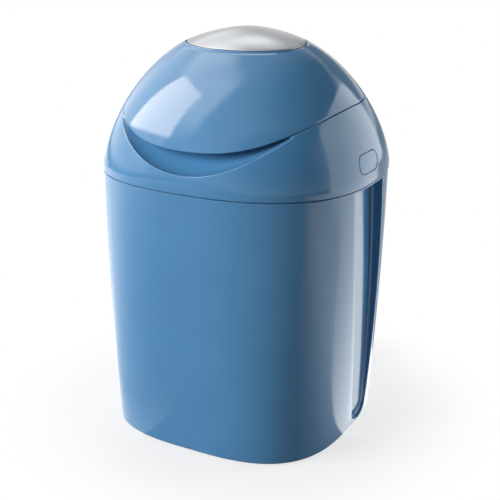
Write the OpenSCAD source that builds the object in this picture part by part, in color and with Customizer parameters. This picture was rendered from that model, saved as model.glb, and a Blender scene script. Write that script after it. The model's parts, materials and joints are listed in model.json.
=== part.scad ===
// Floor-standing nappy bin: a tapered tub with two side grips, a head that tilts back on a rear
// hinge, a domed lid with a finger scoop, and a turning drum that holds a ring-shaped film cassette.
// Millimetres. +Z is up, the front faces -Y, and the origin is on the floor below the middle of the
// whole bin, its rear hinges included.

/* [Whole bin] */
// Height of the crown above the floor
height = 420; // [410:1:440]
// Wall of the blue casings
wall = 2.6; // [2.2:0.1:3]

/* [Tub] */
// Height of the tub's underside on its feet
foot_stand = 1.2; // [0.8:0.1:2]
// Thickness of the tub's floor
tub_floor = 3; // [2.4:0.1:4]
// Half width of the tub at the rim
rim_half_width = 142.6; // [140:0.1:143]
// Reach of the rim to the front
rim_front = 127.2; // [125:0.1:127.6]
// Reach of the rim to the rear
rim_rear = 132.8; // [131:0.1:134]
// Squareness of the rim's outline, 2 being an ellipse
rim_square = 2.56; // [2.4:0.01:3]
// Half width of the tub at the base
base_half_width = 125.8; // [122:0.1:128]
// Reach of the base to the front
base_front = 119.7; // [117:0.1:121]
// Reach of the base to the rear
base_rear = 119.6; // [117:0.1:121]
// Squareness of the base's outline
base_square = 3.03; // [2.7:0.01:3.3]
// Distance that the tub's walls bow out half way up
tub_bow = 2; // [1:0.1:2.4]
// Round of the tub's bottom edge
base_round = 2.4; // [1.6:0.1:2.6]
// Radius of a rubber foot
foot_radius = 9; // [7:0.5:11]
// Thickness of a rubber foot
foot_thick = 2.6; // [2.2:0.1:3]
// Distance of the feet's middles from the base's sides
foot_in_side = 37.8; // [34:0.1:42]
// Distance of the feet's middles from the base's front and rear
foot_in_front = 39.6; // [36:0.1:44]

/* [Side grips] */
// Thickness of the roof that closes a grip at the rim
grip_band = 2; // [1.6:0.1:2.8]
// Height of the grip's rounded lower end
grip_bottom = 4; // [3.8:0.2:7]
// Depth of a grip at its top
grip_depth = 12.6; // [10:0.1:14]
// Depth of a grip at its lower end
grip_depth_low = 5; // [4:0.1:7]
// Place of the grip's front edge at its top
grip_front = -35; // [-38:1:-32]
// Place of the grip's rear edge at its top
grip_rear = 30; // [25:1:32]
// Radius of the grip's inner corners
grip_corner = 3; // [2:0.5:4]

/* [Head] */
// Height of the head and its lid together
head_height = 142.3; // [136:0.1:148]
// Gap between the tub's rim and the head
seam_gap = 0.7; // [0.5:0.1:1]
// Height of the head's widest line above the tub's rim
belt_rise = 8.6; // [8:0.1:10]
// Overhang of the head over the tub's rim at the sides
over_side = 0.7; // [0.4:0.1:1.4]
// Overhang of the head over the tub's rim at the front
over_front = 0.8; // [0.4:0.1:1.6]
// Overhang of the head over the tub's rim at the rear
over_rear = 3.4; // [2:0.1:4]
// Squareness of the head's widest outline
belt_square = 2.52; // [2.4:0.01:2.8]
// Squareness of the outline near the crown
crown_square = 2; // [1.9:0.01:2.2]
// Power of the dome's profile
dome_power = 1.64; // [1.6:0.01:1.8]
// Roundness of the profile at the sides
side_round = 2.15; // [2:0.01:2.3]
// Roundness of the profile at the front
front_round = 1.52; // [1.45:0.01:1.6]
// Roundness of the profile at the rear
rear_round = 2.24; // [2.1:0.01:2.4]

/* [Lid] */
// Height of the lid's seam at its hinge above the tub's rim
lid_seam_rise = 75.3; // [72:0.1:77]
// Drop of the lid's seam from the middle to the front
lid_drop = 35.2; // [33:0.1:37]
// Gap between the lid and the head
lid_gap = 0.5; // [0.4:0.1:0.8]
// Depth of the top plate's rim below the crown
plate_rim_drop = 15.4; // [13:0.1:17]
// Rise of the top plate's rim towards the rear
plate_slope = 0.045; // [0.02:0.005:0.06]
// Thickness of the top plate
plate_thick = 2.6; // [2:0.1:3]
// Gap around the top plate
plate_gap = 0.8; // [0.6:0.1:1.2]
// Clear space between the lid's wall and its liner
liner_gap = 0.5; // [0.4:0.1:0.8]
// Thickness of the lid's liner
liner_thick = 2.2; // [1.8:0.1:2.6]
// Distance of the edge of the liner's flat disc from the cassette's rim
liner_disc_in = 10; // [6:1:13]

/* [Finger scoop] */
// Height of the scoop's rim at the middle above the tub's rim
scoop_above = 19; // [17.5:0.5:21]
// Rise of the scoop's rim to its reference half width
scoop_rise = 31; // [28:1:34]
// Reference half width of the scoop's rim
scoop_half = 86; // [82:1:90]
// Depth of the scoop
scoop_depth = 18; // [14:0.5:19]

/* [Hinges] */
// Radius of a hinge barrel
barrel_r = 4.6; // [4.2:0.1:5]
// Radius of a hinge pin
pin_r = 2; // [1.8:0.1:2.3]
// Running clearance around a hinge pin
pin_fit = 0.05; // [0.03:0.01:0.08]
// Gap between a barrel and the wall behind it
barrel_gap = 2; // [1.8:0.1:2.6]
// Half length of the head's barrel on the tub hinge
tilt_inner = 20; // [16:1:24]
// Half length of the whole tub hinge
tilt_outer = 38; // [34:1:42]
// Half length of the lid's barrel on the lid hinge
lid_inner = 16; // [13:1:18]
// Half length of the whole lid hinge
lid_outer = 28; // [25:1:30]
// Endwise gap between hinge barrels
barrel_end_gap = 0.4; // [0.3:0.1:0.6]

/* [Release buttons] */
// Width of a release button
button_w = 40.7; // [38:0.1:42]
// Height of a release button
button_h = 20; // [18:0.1:20.6]
// Corner radius of a release button
button_r = 9; // [7:0.1:9.4]
// Gap around a release button
button_gap = 0.5; // [0.4:0.1:0.8]
// Place of the buttons, front to rear
button_y = -8; // [-10:1:-6]
// Height of the buttons' middle above the tub's rim
button_above = 23; // [22.5:0.5:24]
// Travel of a release button
button_travel = 3.5; // [3:0.1:3.6]
// Wire radius of the button spring
wire_r = 0.5; // [0.4:0.05:0.6]
// Coil radius of the button spring
coil_r = 3.5; // [3:0.1:4]
// Turns of the button spring
coil_turns = 4; // [3:1:4]

/* [Deck] */
// Thickness of the deck
deck_thick = 3; // [2.4:0.1:3.2]
// Gap between the deck and the casing around it
deck_gap = 0.4; // [0.3:0.05:0.6]
// Gap between parts that are clipped or screwed together
seat_gap = 0.2; // [0.1:0.05:0.3]
// Width of the ledge inside the head that the deck is screwed to
ledge_w = 10; // [9.8:0.1:10.6]
// Thickness of that ledge
ledge_thick = 2.5; // [2.2:0.1:2.8]
// Radius of a screw's shank
screw_r = 1.4; // [1.2:0.1:1.6]
// Radius of a screw's head
screw_head_r = 2.8; // [2.5:0.1:3]

/* [Drum and cassette] */
// Room between the cassette and the tub's sides, for the drum, its bearing and the latches
side_room = 54.6; // [54:0.1:58]
// Room between the cassette and the tub's front
front_room = 39.2; // [38.6:0.1:42]
// Room between the cassette and the tub's rear
rear_room = 44.8; // [38.6:0.1:46]
// Width of the ring of film in the cassette
film_width = 30; // [28:0.5:32]
// Height of the cassette
cassette_h = 60; // [57:0.5:60.3]
// Wall of the cassette and its cap
cassette_wall = 1.8; // [1.5:0.1:2]
// Wall of the drum
drum_wall = 2.6; // [2.2:0.1:2.8]
// Running gap around the drum and the cassette
run_gap = 0.6; // [0.4:0.05:0.7]
// Height of the cassette's top above the tub's rim
cassette_above = 26.5; // [26:0.1:26.8]
// Reach of the drum's flange past the drum
flange_reach = 8.8; // [8:0.1:9.2]
// Number of finger lugs on the drum
lug_count = 12; // [8:1:16]
// Number of fingers on the film gripper
finger_count = 12; // [8:1:16]
// Length of a finger
finger_length = 24; // [20:1:28]

/* [Film cutter] */
// Travel of the film cutter
cutter_travel = 50; // [40:1:52]
// Length of the cutter's slider
slider_length = 26; // [22:1:27]

/* [Hidden] */

// Colours of the finishes
blue = [0.38, 0.55, 0.74];
silver = [0.80, 0.82, 0.84];
pale = [0.86, 0.87, 0.88];
white = [0.95, 0.95, 0.94];
dark = [0.16, 0.17, 0.19];
steel = [0.66, 0.67, 0.69];

// Points around each outline of the casings
ring_n = 64;
step_deg = 360 / ring_n;
// Direction of the bin's front
front_turn = 270;
// Thickness that one solid is sunk into another where both are the same moulding
bond = 0.3;
// A little more than nothing, for cuts that run past a face
past = 1;

// Height of the tub's rim and of the head's lower edge
tub_height = height - head_height - seam_gap;
head_z = tub_height + seam_gap;
// Height and reach of the head's widest line
belt_z = tub_height + belt_rise;
belt_half_width = rim_half_width + over_side;
belt_front = rim_front + over_front;
belt_rear = rim_rear + over_rear;
// Heights of the lid's seam, the plate's rim, the scoop, the buttons and the cassette
lid_seam_z = tub_height + lid_seam_rise;
plate_rim_z = height - plate_rim_drop;
scoop_z = tub_height + scoop_above;
button_z = tub_height + button_above;
cassette_top = tub_height + cassette_above;
// Radius of the largest cassette that the tub has room for, and of its hole
cassette_r = min(rim_half_width - side_room, rim_front - front_room, rim_rear - rear_room);
throat_r = cassette_r - film_width;
// Place of the crown's highest point behind the drum's axis, and the power of its curve
crown_y = 7;
crown_power = 1.8;
// Depth of the seat under the top plate
plate_drop = plate_thick + seat_gap;
// Power by which the outline changes from the belt to the crown
square_rise = 0.66;
// Highest share of the dome at which an outline is taken
near_crown = 0.999;
// Least height of wall between the scoop's rim and the lid's seam
edge_min = 2.5;
// Distance from the middle over which the lid's seam drops to the front
seam_reach = belt_front - 7;
// Share of a corner's radius that the middle of its round stands back
arc_share = 1 - sqrt(0.5);

// ---- Outlines -------------------------------------------------------------------------------

function sign_of(v) = v < 0 ? -1 : 1;

// A point of a rounded outline with its own reach to the sides, the front and the rear
function oval(side, front, rear, square, turn) = [
    sign_of(cos(turn)) * side * pow(abs(cos(turn)), 2 / square),
    sign_of(sin(turn)) * (sin(turn) < 0 ? front : rear) * pow(abs(sin(turn)), 2 / square)
];

function mix(a, b, share) = a + (b - a) * share;

// The tub's outline at a height, inset by a distance
function tub_outline(z, inset, turn) =
    let (up = z / tub_height, out = tub_bow * 4 * up * (1 - up) - inset)
    oval(
        mix(base_half_width, rim_half_width, up) + out,
        mix(base_front, rim_front, up) + out,
        mix(base_rear, rim_rear, up) + out,
        mix(base_square, rim_square, up),
        turn
    );

// The dome's outline at a height: inset moves it inwards, and lower brings its crown down
function dome_outline(z, inset, turn, lower = 0) =
    let (
        up = max(0, min(near_crown, (z - belt_z) / (height - lower - belt_z))),
        left = 1 - pow(up, dome_power)
    )
    oval(
        belt_half_width * pow(left, 1 / side_round) - inset,
        belt_front * pow(left, 1 / front_round) - inset,
        belt_rear * pow(left, 1 / rear_round) - inset,
        mix(belt_square, crown_square, pow(up, square_rise)),
        turn
    );

function at_height(p, z) = [p[0], p[1], z];

// Height of the lid's seam for a distance from the middle towards the front
function seam_height(y) = y < 0 ? lid_seam_z - lid_drop * pow(y / seam_reach, 2) : lid_seam_z;

// Heights at which the outline meets the seam and the plate's rim, found by repeated substitution
function seam_z(turn, z = lid_seam_z - lid_drop / 2, again = 5) =
    again == 0 ? z : seam_z(turn, seam_height(dome_outline(z, 0, turn)[1]), again - 1);

function rim_z(turn, z = plate_rim_z, again = 5) =
    again == 0 ? z : rim_z(turn, plate_rim_z + plate_slope * dome_outline(z, 0, turn)[1], again - 1);

function ring_of(f) = [for (i = [0 : ring_n - 1]) f(i * step_deg)];

// ---- Skins ----------------------------------------------------------------------------------

function ring_faces(low, high, count) = [
    for (i = [0 : count - 1])
        let (j = (i + 1) % count)
        each [
            [low * count + i, high * count + j, low * count + j],
            [low * count + i, high * count + i, high * count + j]
        ]
];

// A solid through a stack of rings, closed at both ends by a fan to a point
module skin(rings, first, last) {
    count = len(rings[0]);
    levels = len(rings);
    points = concat([for (r = rings) each r], [first, last]);
    sides = [for (k = [0 : levels - 2]) each ring_faces(k, k + 1, count)];
    ends = [
        for (i = [0 : count - 1])
            let (j = (i + 1) % count)
            each [
                [levels * count, i, j],
                [levels * count + 1, (levels - 1) * count + j, (levels - 1) * count + i]
            ]
    ];
    polyhedron(points, concat(sides, ends));
}

// A tube-like solid through rings that come back to the first one
module loop_skin(rings) {
    count = len(rings[0]);
    levels = len(rings);
    polyhedron(
        [for (r = rings) each r],
        [for (k = [0 : levels - 1]) each ring_faces(k, (k + 1) % levels, count)]
    );
}

// Mirrors its children to the other side of the bin when side is -1
module on_side(side) {
    if (side > 0) children();
    else mirror([1, 0, 0]) children();
}

module both_sides() {
    on_side(1) children();
    on_side(-1) children();
}

// A cylinder along X from x0 to x1
module rod_x(r, x0, x1, y, z) {
    translate([x0, y, z]) rotate([0, 90, 0]) cylinder(r = r, h = x1 - x0, $fn = 48);
}

// A profile in the plane of front-to-rear and height, drawn out along X
module bar_x(x0, x1, profile) {
    translate([x0, 0, 0]) rotate([90, 0, 90]) linear_extrude(height = x1 - x0) polygon(profile);
}

// A box between two corners
module box_to(low, high) {
    translate(low) cube(high - low);
}

// A ring turned about the bin's own upright axis
module turned(profile) {
    rotate_extrude($fn = 96) polygon(profile);
}

// ---- Tub ------------------------------------------------------------------------------------

grip_top = tub_height - grip_band;
grip_front_lean = 30;
grip_front_bow = 13;
grip_rear_lean = 50;
grip_rear_bow = -38;

// Share of the way down a grip
function grip_down(z) = (grip_top - z) / grip_top;
function grip_edge(top, lean, bow, down) = top + lean * down + bow * down * down;
function grip_front_y(z) = grip_edge(grip_front, grip_front_lean, grip_front_bow, grip_down(z));
function grip_rear_y(z) = grip_edge(grip_rear, grip_rear_lean, grip_rear_bow, grip_down(z));
function grip_floor_x(z) = tub_outline(z, 0, 0)[0]
    - mix(grip_depth, grip_depth_low, pow(grip_down(z), 2));

// Rounding of the grip's lower end: the share of the half width that is left at a height
grip_end_h = 10;
grip_end_cut = 0.94;
function grip_share(z) = z >= grip_bottom + grip_end_h ? 1
    : sqrt(1 - pow((grip_bottom + grip_end_h - z) / grip_end_h * grip_end_cut, 2));

// Distance that a grip's hollow runs out past the wall
grip_past = 8;

// One level of a grip: four points along its inner corners and two well outside the wall
function grip_ring(z, grow, share) =
    let (
        mid = (grip_front_y(z) + grip_rear_y(z)) / 2,
        half = (grip_rear_y(z) - grip_front_y(z)) / 2 * share + grow,
        x = grip_floor_x(z) - grow,
        c = grip_corner,
        out = tub_outline(z, 0, 0)[0] + grip_past,
        a = arc_share * c
    )
    [
        [out, mid - half, z], [out, mid + half, z],
        [x + c, mid + half, z], [x + a, mid + half - a, z], [x, mid + half - c, z],
        [x, mid - half + c, z], [x + a, mid - half + a, z], [x + c, mid - half, z]
    ];

module grip_hollow() {
    low = grip_bottom + grip_end_h;
    levels = concat(
        [for (k = [0 : 3]) grip_bottom + grip_end_h * pow(k / 4, 2)],
        [for (k = [0 : 6]) mix(low, grip_top, k / 6)]
    );
    rings = [for (z = levels) grip_ring(z, 0, grip_share(z))];
    skin(rings, end_point(rings[0]), end_point(rings[len(rings) - 1]));
}

// The walls and the roof around a grip, seen from inside the tub, as one solid block
module grip_block() {
    levels = [for (k = [0 : 7]) mix(-past, grip_top, k / 7)];
    rings = concat(
        [for (z = levels) grip_ring(z, wall, 1)],
        [[for (p = grip_ring(grip_top, wall, 1)) at_height(p, tub_height)]]
    );
    skin(rings, end_point(rings[0]), end_point(rings[len(rings) - 1]));
}

function end_point(ring) = [for (p = ring) 1] * ring / len(ring);

function tub_ring(z, inset) = ring_of(function (turn) at_height(tub_outline(z, inset, turn), z));

// Width of the small bevel around the tub's rim
rim_bevel = 0.6;

// Rings of a wall between two heights, which follow its bow
function wall_rings(low, high, inset) = [for (k = [0 : 4]) tub_ring(mix(low, high, k / 4), inset)];

module tub_outside() {
    rings = concat(
        [
            tub_ring(foot_stand, base_round),
            tub_ring(foot_stand + arc_share * base_round, arc_share * base_round)
        ],
        wall_rings(foot_stand + base_round, tub_height - rim_bevel, 0),
        [tub_ring(tub_height, rim_bevel)]
    );
    skin(rings, [0, 0, foot_stand], [0, 0, tub_height]);
}

inside_z = foot_stand + tub_floor;
inside_round = 4;

module tub_inside() {
    rings = concat(
        [
            tub_ring(inside_z, wall + inside_round),
            tub_ring(inside_z + arc_share * inside_round, wall + arc_share * inside_round)
        ],
        wall_rings(inside_z + inside_round, tub_height + past, wall)
    );
    skin(rings, [0, 0, inside_z], [0, 0, tub_height + past]);
}

tilt_y = belt_rear + barrel_gap + barrel_r;
tilt_z = tub_height + seam_gap / 2;

// Depth to which a hinge lug is rooted in its wall
lug_root = 0.8 * wall;
// Height of the tub's lugs on the wall, and their distance below the rim
tub_lug_h = 24;
lug_seam = 3.5;

// A lug between a wall and a barrel: side is 1 when it rises from the barrel and -1 when it hangs
module lug(x0, x1, y, z, side, wall_near, wall_far) {
    near = barrel_r * sqrt(0.5);
    bar_x(x0, x1, [
        wall_far, [y + near, z + side * near], [y - near, z + side * near / 2], wall_near
    ]);
}

module tub_barrels() {
    wall_y = rim_rear - lug_root;
    for (x = [-tilt_outer, tilt_inner + barrel_end_gap]) {
        x1 = x + tilt_outer - tilt_inner - barrel_end_gap;
        rod_x(barrel_r, x, x1, tilt_y, tilt_z);
        lug(x, x1, tilt_y, tilt_z, -1, [wall_y, tub_height - lug_seam], [wall_y, tub_height - tub_lug_h]);
    }
}

// The upright tab that a release latch would catch
striker_x = grip_floor_x(grip_top) - wall + bond;
striker_thick = 2.8;
striker_half = 6;
striker_top = button_z;
// Length of the tab that is moulded to the grip's inner wall
striker_root = 16;
// Reach, lower height, edge and slope of the bead that the latch would hold
bead = 1.6;
bead_z = button_z - 8;
bead_edge = 1.5;
bead_slope = 5;

module striker() {
    x0 = striker_x - striker_thick;
    box_to(
        [x0, button_y - striker_half, grip_top - striker_root],
        [striker_x, button_y + striker_half, striker_top]
    );
    translate([0, button_y + striker_half, 0]) rotate([90, 0, 0])
        linear_extrude(height = 2 * striker_half)
        polygon([
            [x0 + bond, bead_z], [x0 - bead, bead_z],
            [x0 - bead, bead_z + bead_edge], [x0 + bond, bead_z + bead_slope]
        ]);
}

// Room around a foot in its socket, and the bevel of its lower edge
foot_socket = 0.3;
foot_bevel = 1;
foot_x = base_half_width - foot_in_side;
foot_y = min(base_front, base_rear) - foot_in_front;
foot_places = [[foot_x, foot_y], [-foot_x, foot_y], [-foot_x, -foot_y], [foot_x, -foot_y]];

module tub() {
    color(blue) {
        difference() {
            union() {
                tub_outside();
                tub_barrels();
            }
            difference() {
                tub_inside();
                both_sides() grip_block();
            }
            both_sides() grip_hollow();
            rod_x(pin_r + pin_fit, -tilt_outer - past, tilt_outer + past, tilt_y, tilt_z);
            for (p = foot_places)
                translate([p[0], p[1], 0])
                    cylinder(r = foot_radius + foot_socket, h = foot_thick, $fn = 48);
        }
        both_sides() striker();
    }
}

module feet() {
    color(dark)
        for (p = foot_places)
            translate([p[0], p[1], 0]) rotate_extrude($fn = 48)
                polygon([
                    [0, 0], [foot_radius - foot_bevel, 0], [foot_radius, foot_bevel],
                    [foot_radius, foot_thick - seat_gap], [0, foot_thick - seat_gap]
                ]);
}

// Endwise room between a pin's end and the barrel's end
pin_short = 0.5;

module tilt_hinge_pin() {
    color(steel) rod_x(pin_r, pin_short - tilt_outer, tilt_outer - pin_short, tilt_y, tilt_z);
}

// ---- Head -----------------------------------------------------------------------------------

// Height of the scoop's rim at a direction, found by repeated substitution of half steps
function scoop_edge(turn, z = button_z, again = 8) =
    let (p = dome_outline(z, 0, turn))
    p[1] > 0 ? height :
    again == 0 ? z :
    scoop_edge(turn, (z + scoop_z + scoop_rise * pow(p[0] / scoop_half, 2)) / 2, again - 1);

function scoop_low(turn) = min(scoop_edge(turn), seam_z(turn) - edge_min);

// Open height of the scoop below the lid, and its depth there
function scoop_open(turn) = seam_z(turn) - edge_min - scoop_low(turn);
scoop_tall = seam_z(front_turn) - edge_min - scoop_z;
function scoop_in(turn) = scoop_depth * sqrt(max(0, min(1, scoop_open(turn) / scoop_tall)));

function scoop_rise_at(turn) = seam_z(turn) - lid_gap - scoop_low(turn);

// A point of the scoop's bowl: share runs from its rim to its top behind the lid
function bowl_point(turn, share, thick) =
    let (
        z = scoop_low(turn) + scoop_rise_at(turn) * (1 - cos(90 * share)) - thick * cos(90 * share),
        inset = scoop_in(turn) * sin(90 * share) + thick
    )
    at_height(dome_outline(z, inset, turn), z);

function head_ring(z, inset) = ring_of(function (turn) at_height(dome_outline(z, inset, turn), z));
function head_ring_to(share) = ring_of(
    function (turn) let (z = mix(belt_z, scoop_low(turn), share)) at_height(dome_outline(z, 0, turn), z)
);
function bowl_ring(share, thick) = ring_of(function (turn) bowl_point(turn, share, thick));
function head_inner_to(share) = ring_of(
    function (turn)
        let (z = mix(ledge_z + ledge_thick, scoop_low(turn) - wall, share))
        at_height(dome_outline(z, wall, turn), z)
);

// Height of the deck's top below the belt
deck_drop = 0.7;
deck_top = belt_z - deck_drop;
ledge_z = deck_top + seat_gap;
// Inset and height of the round at the head's lower edge
head_edge_in = 0.9;
head_edge_h = 1.4;

module head_casing() {
    loop_skin([
        head_ring(head_z, head_edge_in),
        head_ring(head_z + head_edge_h, 0),
        head_ring(belt_z, 0),
        head_ring_to(0.4), head_ring_to(0.75), head_ring_to(1),
        bowl_ring(0.3, 0), bowl_ring(0.6, 0), bowl_ring(0.85, 0), bowl_ring(1, 0),
        bowl_ring(1, wall), bowl_ring(0.85, wall), bowl_ring(0.6, wall), bowl_ring(0.3, wall),
        bowl_ring(0, wall),
        head_inner_to(0.5),
        head_ring(ledge_z + ledge_thick, wall),
        head_ring(ledge_z + ledge_thick, wall + ledge_w),
        head_ring(ledge_z, wall + ledge_w),
        head_ring(ledge_z, wall),
        head_ring(head_z, wall)
    ]);
}

lid_hinge_z = lid_seam_z - lid_gap / 2;
lid_hinge_y = dome_outline(lid_seam_z, 0, 90)[1] + barrel_r + barrel_gap;
// Height of the head's upright lug, and of the lugs above and below the lid's hinge
head_lug_h = 16;
lid_lug_h = 20;

// A point inside the dome's rear wall, where a lug is rooted
function rear_root(z) = [dome_outline(z, lug_root, 90)[1], z];

module head_barrels() {
    rod_x(barrel_r, -tilt_inner, tilt_inner, tilt_y, tilt_z);
    lug(
        -tilt_inner, tilt_inner, tilt_y, tilt_z, 1,
        rear_root(head_z + lug_seam), rear_root(head_z + head_lug_h)
    );
    for (x = [-lid_outer, lid_inner + barrel_end_gap]) {
        x1 = x + lid_outer - lid_inner - barrel_end_gap;
        rod_x(barrel_r, x, x1, lid_hinge_y, lid_hinge_z);
        lug(
            x, x1, lid_hinge_y, lid_hinge_z, -1,
            rear_root(lid_hinge_z - lug_seam), rear_root(lid_hinge_z - lid_lug_h)
        );
    }
}

// A rounded rectangle that runs along X
module pill(w, h, r, x0, x1) {
    translate([x0, button_y, button_z]) rotate([90, 0, 90]) linear_extrude(height = x1 - x0) {
        square([w - 2 * r, h], center = true);
        square([w, h - 2 * r], center = true);
        for (a = [-1, 1], b = [-1, 1])
            translate([a * (w / 2 - r), b * (h / 2 - r)]) circle(r = r, $fn = 32);
    }
}

// Inner end of the cut that a release button passes through
button_cut_x = striker_x + button_travel;

// Directions of the screws that hold the deck
bolt_turns = [32, 75, 105, 148, 222, 270, 318];
// Distance of the deck's screws from the ledge's inner edge
bolt_edge = 2.6;
function bolt_place(turn) = dome_outline(belt_z, wall + ledge_w - bolt_edge, turn);

module head_shell() {
    color(blue) difference() {
        union() {
            head_casing();
            head_barrels();
        }
        both_sides() pill(button_w, button_h, button_r, button_cut_x, belt_half_width + past);
        rod_x(pin_r + pin_fit, -tilt_outer, tilt_outer, tilt_y, tilt_z);
        rod_x(pin_r + pin_fit, -lid_outer - past, lid_outer + past, lid_hinge_y, lid_hinge_z);
        for (t = bolt_turns)
            translate([bolt_place(t)[0], bolt_place(t)[1], ledge_z - past])
                cylinder(r = screw_r + pin_fit, h = ledge_thick + 2 * past, $fn = 24);
    }
}

module lid_hinge_pin() {
    color(steel) rod_x(pin_r, pin_short - lid_outer, lid_outer - pin_short, lid_hinge_y, lid_hinge_z);
}

// ---- Drum and cassette ----------------------------------------------------------------------

cassette_bottom = cassette_top - cassette_h;
drum_in = cassette_r + run_gap;
drum_out = drum_in + drum_wall;
drum_low = cassette_bottom - seat_gap - drum_wall;
// Radius of the hole under the cassette
drum_hole = throat_r + 2;
// Height by which the cassette stands above the drum
cassette_proud = 2.5;
flange_low = deck_top + run_gap / 2;
flange_high = flange_low + drum_wall;
flange_r = drum_out + flange_reach;
drum_high = cassette_top - cassette_proud;
// Radius of a finger lug, and its reach past the drum
lug_r = 3;
lug_out = drum_out + 2.4;

module twist_drum() {
    color(pale) {
        turned([
            [drum_hole, drum_low], [drum_out, drum_low], [drum_out, flange_low], [flange_r, flange_low],
            [flange_r, flange_high], [drum_out, flange_high], [drum_out, drum_high], [drum_in, drum_high],
            [drum_in, drum_low + drum_wall], [drum_hole, drum_low + drum_wall]
        ]);
        for (i = [0 : lug_count - 1])
            rotate([0, 0, i * 360 / lug_count])
                translate([lug_out - lug_r, 0, flange_high - bond])
                    difference() {
                        cylinder(r = lug_r, h = drum_high - flange_high + bond, $fn = 24);
                        box_to(
                            [-2 * lug_r, -lug_r, -past],
                            [drum_in + bond - lug_out + lug_r, lug_r, cassette_h]
                        );
                    }
    }
}

// Depth of the cap's lip, its fit in the body, and the bevel of its edges
cap_lip = 5;
cap_gap = 0.2;
cap_bevel = 0.6;
// Depth of the slot that the film leaves the cassette by
film_slot = 8;

module cassette_body() {
    color(white) turned([
        [throat_r, cassette_bottom], [cassette_r, cassette_bottom],
        [cassette_r, cassette_top - cassette_wall - cap_gap],
        [cassette_r - cassette_wall, cassette_top - cassette_wall - cap_gap],
        [cassette_r - cassette_wall, cassette_bottom + cassette_wall],
        [throat_r + cassette_wall, cassette_bottom + cassette_wall],
        [throat_r + cassette_wall, cassette_top - film_slot], [throat_r, cassette_top - film_slot]
    ]);
}

module cassette_cap() {
    lip_r = cassette_r - cassette_wall - cap_gap;
    under = cassette_top - cassette_wall;
    color(white) turned([
        [drum_hole, under], [lip_r - cassette_wall, under], [lip_r - cassette_wall, under - cap_lip],
        [lip_r, under - cap_lip], [lip_r, under], [cassette_r, under],
        [cassette_r, cassette_top - cap_bevel], [cassette_r - cap_bevel, cassette_top],
        [drum_hole + cap_bevel, cassette_top], [drum_hole, cassette_top - cap_bevel]
    ]);
}

// Room around the pleated film in the cassette, and its distance below the top
film_room = 2;
film_drop = 12;

module film_pack() {
    inner = throat_r + cassette_wall + film_room;
    outer = cassette_r - 2 * cassette_wall - film_room;
    low = cassette_bottom + cassette_wall + cap_gap;
    high = cassette_top - film_drop;
    color([0.75, 0.85, 0.78]) turned([[inner, low], [outer, low], [outer, high], [inner, high]]);
}

ring_in = flange_r + run_gap;
ring_out = ring_in + 5.4;
// Depth of the bearing ring's screw holes above the deck, and the bevel of its edge
screw_bite = 4;
ring_bevel = 0.6;
ring_cover_z = flange_high + run_gap / 2;
ring_cover = 2;
ring_screws = 4;
ring_screw_at = (ring_in + ring_out) / 2;

function ring_screw_turn(i) = 45 + i * 360 / ring_screws;

module ring_screw_holes(low, high) {
    for (i = [0 : ring_screws - 1])
        rotate([0, 0, ring_screw_turn(i)]) translate([ring_screw_at, 0, low])
            cylinder(r = screw_r + 2 * pin_fit, h = high - low, $fn = 24);
}

module bearing_ring() {
    color(pale) difference() {
        turned([
            [ring_in, deck_top + seat_gap], [ring_out, deck_top + seat_gap],
            [ring_out, ring_cover_z + ring_cover - ring_bevel],
            [ring_out - ring_bevel, ring_cover_z + ring_cover],
            [lug_out + run_gap, ring_cover_z + ring_cover], [lug_out + run_gap, ring_cover_z],
            [ring_in, ring_cover_z]
        ]);
        ring_screw_holes(deck_top, deck_top + screw_bite);
    }
}

// Clear space around the drum in its housing, and the housing's wall
housing_in = drum_out + 1.3;
housing_wall = 2.4;
housing_out = housing_in + housing_wall;
housing_low = drum_low - run_gap / 2 - housing_wall;
housing_top = deck_top - deck_thick - seat_gap;

module drum_housing() {
    color(pale) difference() {
        turned([
            [drum_hole, housing_low], [housing_out, housing_low], [housing_out, housing_top - housing_wall],
            [ring_out, housing_top - housing_wall], [ring_out, housing_top],
            [housing_in, housing_top], [housing_in, housing_low + housing_wall],
            [drum_hole, housing_low + housing_wall]
        ]);
        ring_screw_holes(housing_top - housing_wall - past, housing_top + past);
        rail_screw_holes();
    }
}

// Outer radius of the gripper's rim, its thickness, and the slits between its fingers
gripper_rim_r = drum_hole + 14;
gripper_thick = 2;
gripper_rim_thick = 3;
gripper_top = housing_low - seat_gap;
finger_root_r = throat_r + 4;
finger_hole_r = finger_root_r - finger_length;
finger_slit = 1.4;
slit_end = 2;

module film_gripper() {
    color(dark) difference() {
        turned([
            [finger_hole_r, gripper_top - gripper_thick], [finger_root_r, gripper_top - gripper_thick],
            [finger_root_r + slit_end, gripper_top - gripper_rim_thick],
            [gripper_rim_r, gripper_top - gripper_rim_thick],
            [gripper_rim_r, gripper_top], [finger_hole_r, gripper_top]
        ]);
        for (i = [0 : finger_count - 1])
            rotate([0, 0, i * 360 / finger_count])
                box_to(
                    [finger_hole_r - past, -finger_slit / 2, gripper_top - gripper_rim_thick - past],
                    [finger_root_r - slit_end, finger_slit / 2, gripper_top + past]
                );
    }
}

// ---- Deck -----------------------------------------------------------------------------------

// The deck's skirt: how far it reaches into the tub, its wall, its gap to the tub, and the room
// that it leaves around the grips
skirt_low = tub_height - 2.6;
skirt_thick = 2.2;
skirt_gap = 0.6;
skirt_room = 1.5;
// Room for the tub's tab in the deck's slot, sideways and to the front and rear
slot_room = 0.8;
slot_room_y = 3.5;
// Pegs that place the latch guides: radius, fit, and distance from the guide's inner end
peg_r = 2;
peg_gap = 0.15;
peg_in = 5;

module deck_plate() {
    translate([0, 0, deck_top - deck_thick]) linear_extrude(height = deck_thick)
        polygon(ring_of(function (turn) dome_outline(belt_z, wall + deck_gap, turn)));
    translate([0, 0, skirt_low]) linear_extrude(height = deck_top - deck_thick - skirt_low + bond)
        difference() {
            polygon(ring_of(function (turn) tub_outline(skirt_low, wall + skirt_gap, turn)));
            polygon(ring_of(function (turn) tub_outline(skirt_low, wall + skirt_gap + skirt_thick, turn)));
        }
}

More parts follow.
